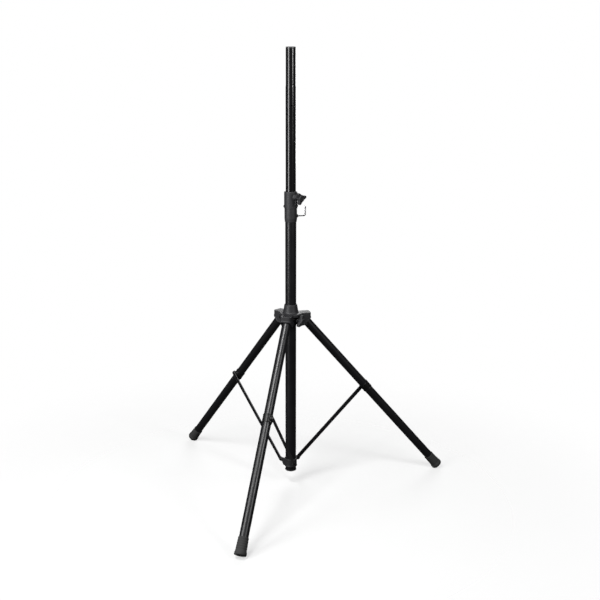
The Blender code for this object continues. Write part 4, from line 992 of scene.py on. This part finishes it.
def make_floor(colour):
    """A pale floor that fades out into the white round it."""
    bm = bmesh.new()
    bmesh.ops.create_circle(bm, cap_ends=True, radius=FLOOR_RADIUS, segments=96)
    floor = held("studio_floor", bm)
    material, tree, shader, place = start_finish("studio_floor")
    cloud = between(tree, noise(tree, place, 3.0, 4.0), 0.2, 0.8)
    tone = blend_colour(tree, cloud, lighter(colour, 0.985), lighter(colour, 1.01))
    tree.links.new(tone, shader.inputs["Base Color"])
    shader.inputs["Roughness"].default_value = 0.75
    away = put(tree, "ShaderNodeVectorMath", {0: place}, operation="LENGTH").outputs["Value"]
    clear = put(tree, "ShaderNodeBsdfTransparent")
    mix = put(tree, "ShaderNodeMixShader", {0: between(tree, away, *FLOOR_FADE, FLOOR_CLEAR, 1.0)})
    tree.links.new(shader.outputs[0], mix.inputs[1])
    tree.links.new(clear.outputs[0], mix.inputs[2])
    tree.links.new(mix.outputs[0], tree.nodes["Material Output"].inputs["Surface"])
    floor.data.materials.append(material)
    floor.visible_diffuse = False
    floor.visible_glossy = False


def make_sky():
    """White all round: bright behind the stand, and dim where it lights it."""
    bpy.context.scene.view_settings.view_transform = "Standard"
    world = bpy.data.worlds.new("studio_white")
    bpy.context.scene.world = world
    world.use_nodes = True
    tree = world.node_tree
    light = tree.nodes["Background"]
    light.inputs["Color"].default_value = (1, 1, 1, 1)
    direct = put(tree, "ShaderNodeLightPath").outputs["Is Camera Ray"]
    strength = put(tree, "ShaderNodeMapRange", {"Value": direct, "To Min": SKY_CAST, "To Max": SKY_SEEN})
    tree.links.new(strength.outputs["Result"], light.inputs["Strength"])


def make_light(name, azimuth, distance, height, width, tall, power, aim):
    """A soft box that faces the pole."""
    light = bpy.data.lights.new(name, "AREA")
    light.shape = "RECTANGLE"
    light.size, light.size_y = width, tall
    light.energy = power
    lamp = bpy.data.objects.new(name, light)
    bpy.context.scene.collection.objects.link(lamp)
    lamp.visible_camera = False
    place = POLE_PLACE @ (radial(CAMERA_AZIMUTH + math.radians(azimuth)) * distance + AXIS_Z * height)
    lamp.location = place
    lamp.rotation_euler = (POLE_PLACE @ Vector((0, 0, aim)) - place).to_track_quat("-Z", "Y").to_euler()


def make_camera():
    camera = bpy.data.objects.new("camera", bpy.data.cameras.new("camera"))
    bpy.context.scene.collection.objects.link(camera)
    camera.data.lens = CAMERA_LENS
    camera.data.sensor_width = 36.0
    camera.data.shift_x = CAMERA_SHIFT
    out = radial(CAMERA_AZIMUTH)
    camera.location = POLE_PLACE @ (out * CAMERA_DISTANCE + AXIS_Z * CAMERA_HEIGHT)
    look = -out * math.cos(CAMERA_PITCH) - AXIS_Z * math.sin(CAMERA_PITCH)
    camera.rotation_euler = look.to_track_quat("-Z", "Y").to_euler()
    bpy.context.scene.camera = camera


# Operators -------------------------------------------------------------------------------


class STAND_OT_finishes(bpy.types.Operator):
    """Makes the finishes and puts them on the parts that keep their shape"""

    bl_idname = "stand.finishes"
    bl_label = "Finishes"

    def execute(self, context):
        finishes = make_finishes(context.scene.stand_colours)
        slots = {part["node"]: part["material_slot"] for part in frame["record"]["subparts"]}
        for name, node in frame["nodes"].items():
            node.data.materials.clear()
            node.data.materials.append(finishes[slots[name]])
            node.data.shade_smooth()
            node.data.set_sharp_from_angle(angle=math.radians(SHARP))
        return {"FINISHED"}


class STAND_OT_pole(bpy.types.Operator):
    """Builds the lower tube with its foot cap, base collar and rivets"""

    bl_idname = "stand.pole"
    bl_label = "Pole and base"

    def execute(self, context):
        sizes = context.scene.stand_sizes
        pole_tube(sizes)
        pole_cap(sizes)
        base_collar(sizes)
        base_rivets()
        return {"FINISHED"}


class STAND_OT_mast(bpy.types.Operator):
    """Builds the sliding mast and its cap"""

    bl_idname = "stand.mast"
    bl_label = "Mast"

    def execute(self, context):
        mast_tube(context.scene.stand_sizes)
        mast_cap(context.scene.stand_sizes)
        return {"FINISHED"}


class STAND_OT_clamp(bpy.types.Operator):
    """Builds the clamp collar, its screws and the locking pin"""

    bl_idname = "stand.clamp"
    bl_label = "Clamp collar"

    def execute(self, context):
        clamp_collar(context.scene.stand_sizes)
        collar_screws()
        locking_pin(context.scene.stand_sizes)
        return {"FINISHED"}


class STAND_OT_knobs(bpy.types.Operator):
    """Builds the two hand knobs and their threaded studs"""

    bl_idname = "stand.knobs"
    bl_label = "Hand knobs"

    def execute(self, context):
        sizes = context.scene.stand_sizes
        lock_height = HUB_PIVOT - LOCK_DROP
        knob("clamp", "clamp_knob", CLAMP_HEIGHT, CLAMP_REACH, sizes.clamp_lobe, CLAMP_KNOB_TURN, sizes)
        knob("hub", "hub_lock_knob", lock_height, LOCK_REACH, sizes.lock_lobe, LOCK_KNOB_TURN, sizes)
        stud("clamp", "clamp_stud", CLAMP_HEIGHT, sizes.mast_radius + STUD_START, CLAMP_REACH)
        stud("hub", "hub_lock_stud", lock_height, sizes.pole_radius + STUD_START, LOCK_REACH)
        return {"FINISHED"}


class STAND_OT_hub(bpy.types.Operator):
    """Builds the sliding hub with its bolts and nuts"""

    bl_idname = "stand.hub"
    bl_label = "Hub"

    def execute(self, context):
        hub(context.scene.stand_sizes)
        leg_bolts()
        return {"FINISHED"}


class STAND_OT_legs(bpy.types.Operator):
    """Builds the three legs with their knuckles, feet, saddles and braces"""

    bl_idname = "stand.legs"
    bl_label = "Legs and braces"

    def execute(self, context):
        for name, azimuth in zip(LEG_NAMES, LEG_AZIMUTHS):
            for build in (leg_tube, leg_head, foot, bracket, brace):
                build(name, azimuth, context.scene.stand_sizes)
        return {"FINISHED"}


class STAND_OT_stage(bpy.types.Operator):
    """Sets up the floor, the soft lights and the camera"""

    bl_idname = "stand.stage"
    bl_label = "Studio"

    def execute(self, context):
        make_floor(context.scene.stand_colours.floor)
        make_sky()
        for soft_box in SOFT_BOXES:
            make_light(*soft_box)
        make_camera()
        return {"FINISHED"}


class STAND_PT_panel(bpy.types.Panel):
    """Lists the stand's pieces, sizes and colours."""

    bl_idname = "STAND_PT_panel"
    bl_label = "Speaker stand"
    bl_space_type = "VIEW_3D"
    bl_region_type = "UI"
    bl_category = "Stand"

    def draw(self, context):
        for operator in OPERATORS:
            self.layout.operator(operator.bl_idname)
        for group in (context.scene.stand_sizes, context.scene.stand_colours):
            for name in group.__annotations__:
                self.layout.prop(group, name)


OPERATORS = (
    STAND_OT_finishes, STAND_OT_pole, STAND_OT_mast, STAND_OT_clamp, STAND_OT_knobs,
    STAND_OT_hub, STAND_OT_legs, STAND_OT_stage,
)
CLASSES = (StandSizes, StandColours, *OPERATORS, STAND_PT_panel)


def register():
    for item in CLASSES:
        bpy.utils.register_class(item)
    bpy.types.Scene.stand_sizes = PointerProperty(type=StandSizes)
    bpy.types.Scene.stand_colours = PointerProperty(type=StandColours)


def unregister():
    del bpy.types.Scene.stand_sizes
    del bpy.types.Scene.stand_colours
    for item in reversed(CLASSES):
        bpy.utils.unregister_class(item)


def main():
    """Builds every piece in order."""
    register()
    for build in ("finishes", "pole", "mast", "clamp", "knobs", "hub", "legs", "stage"):
        getattr(bpy.ops.stand, build)()


if __name__ == "__main__":
    main()
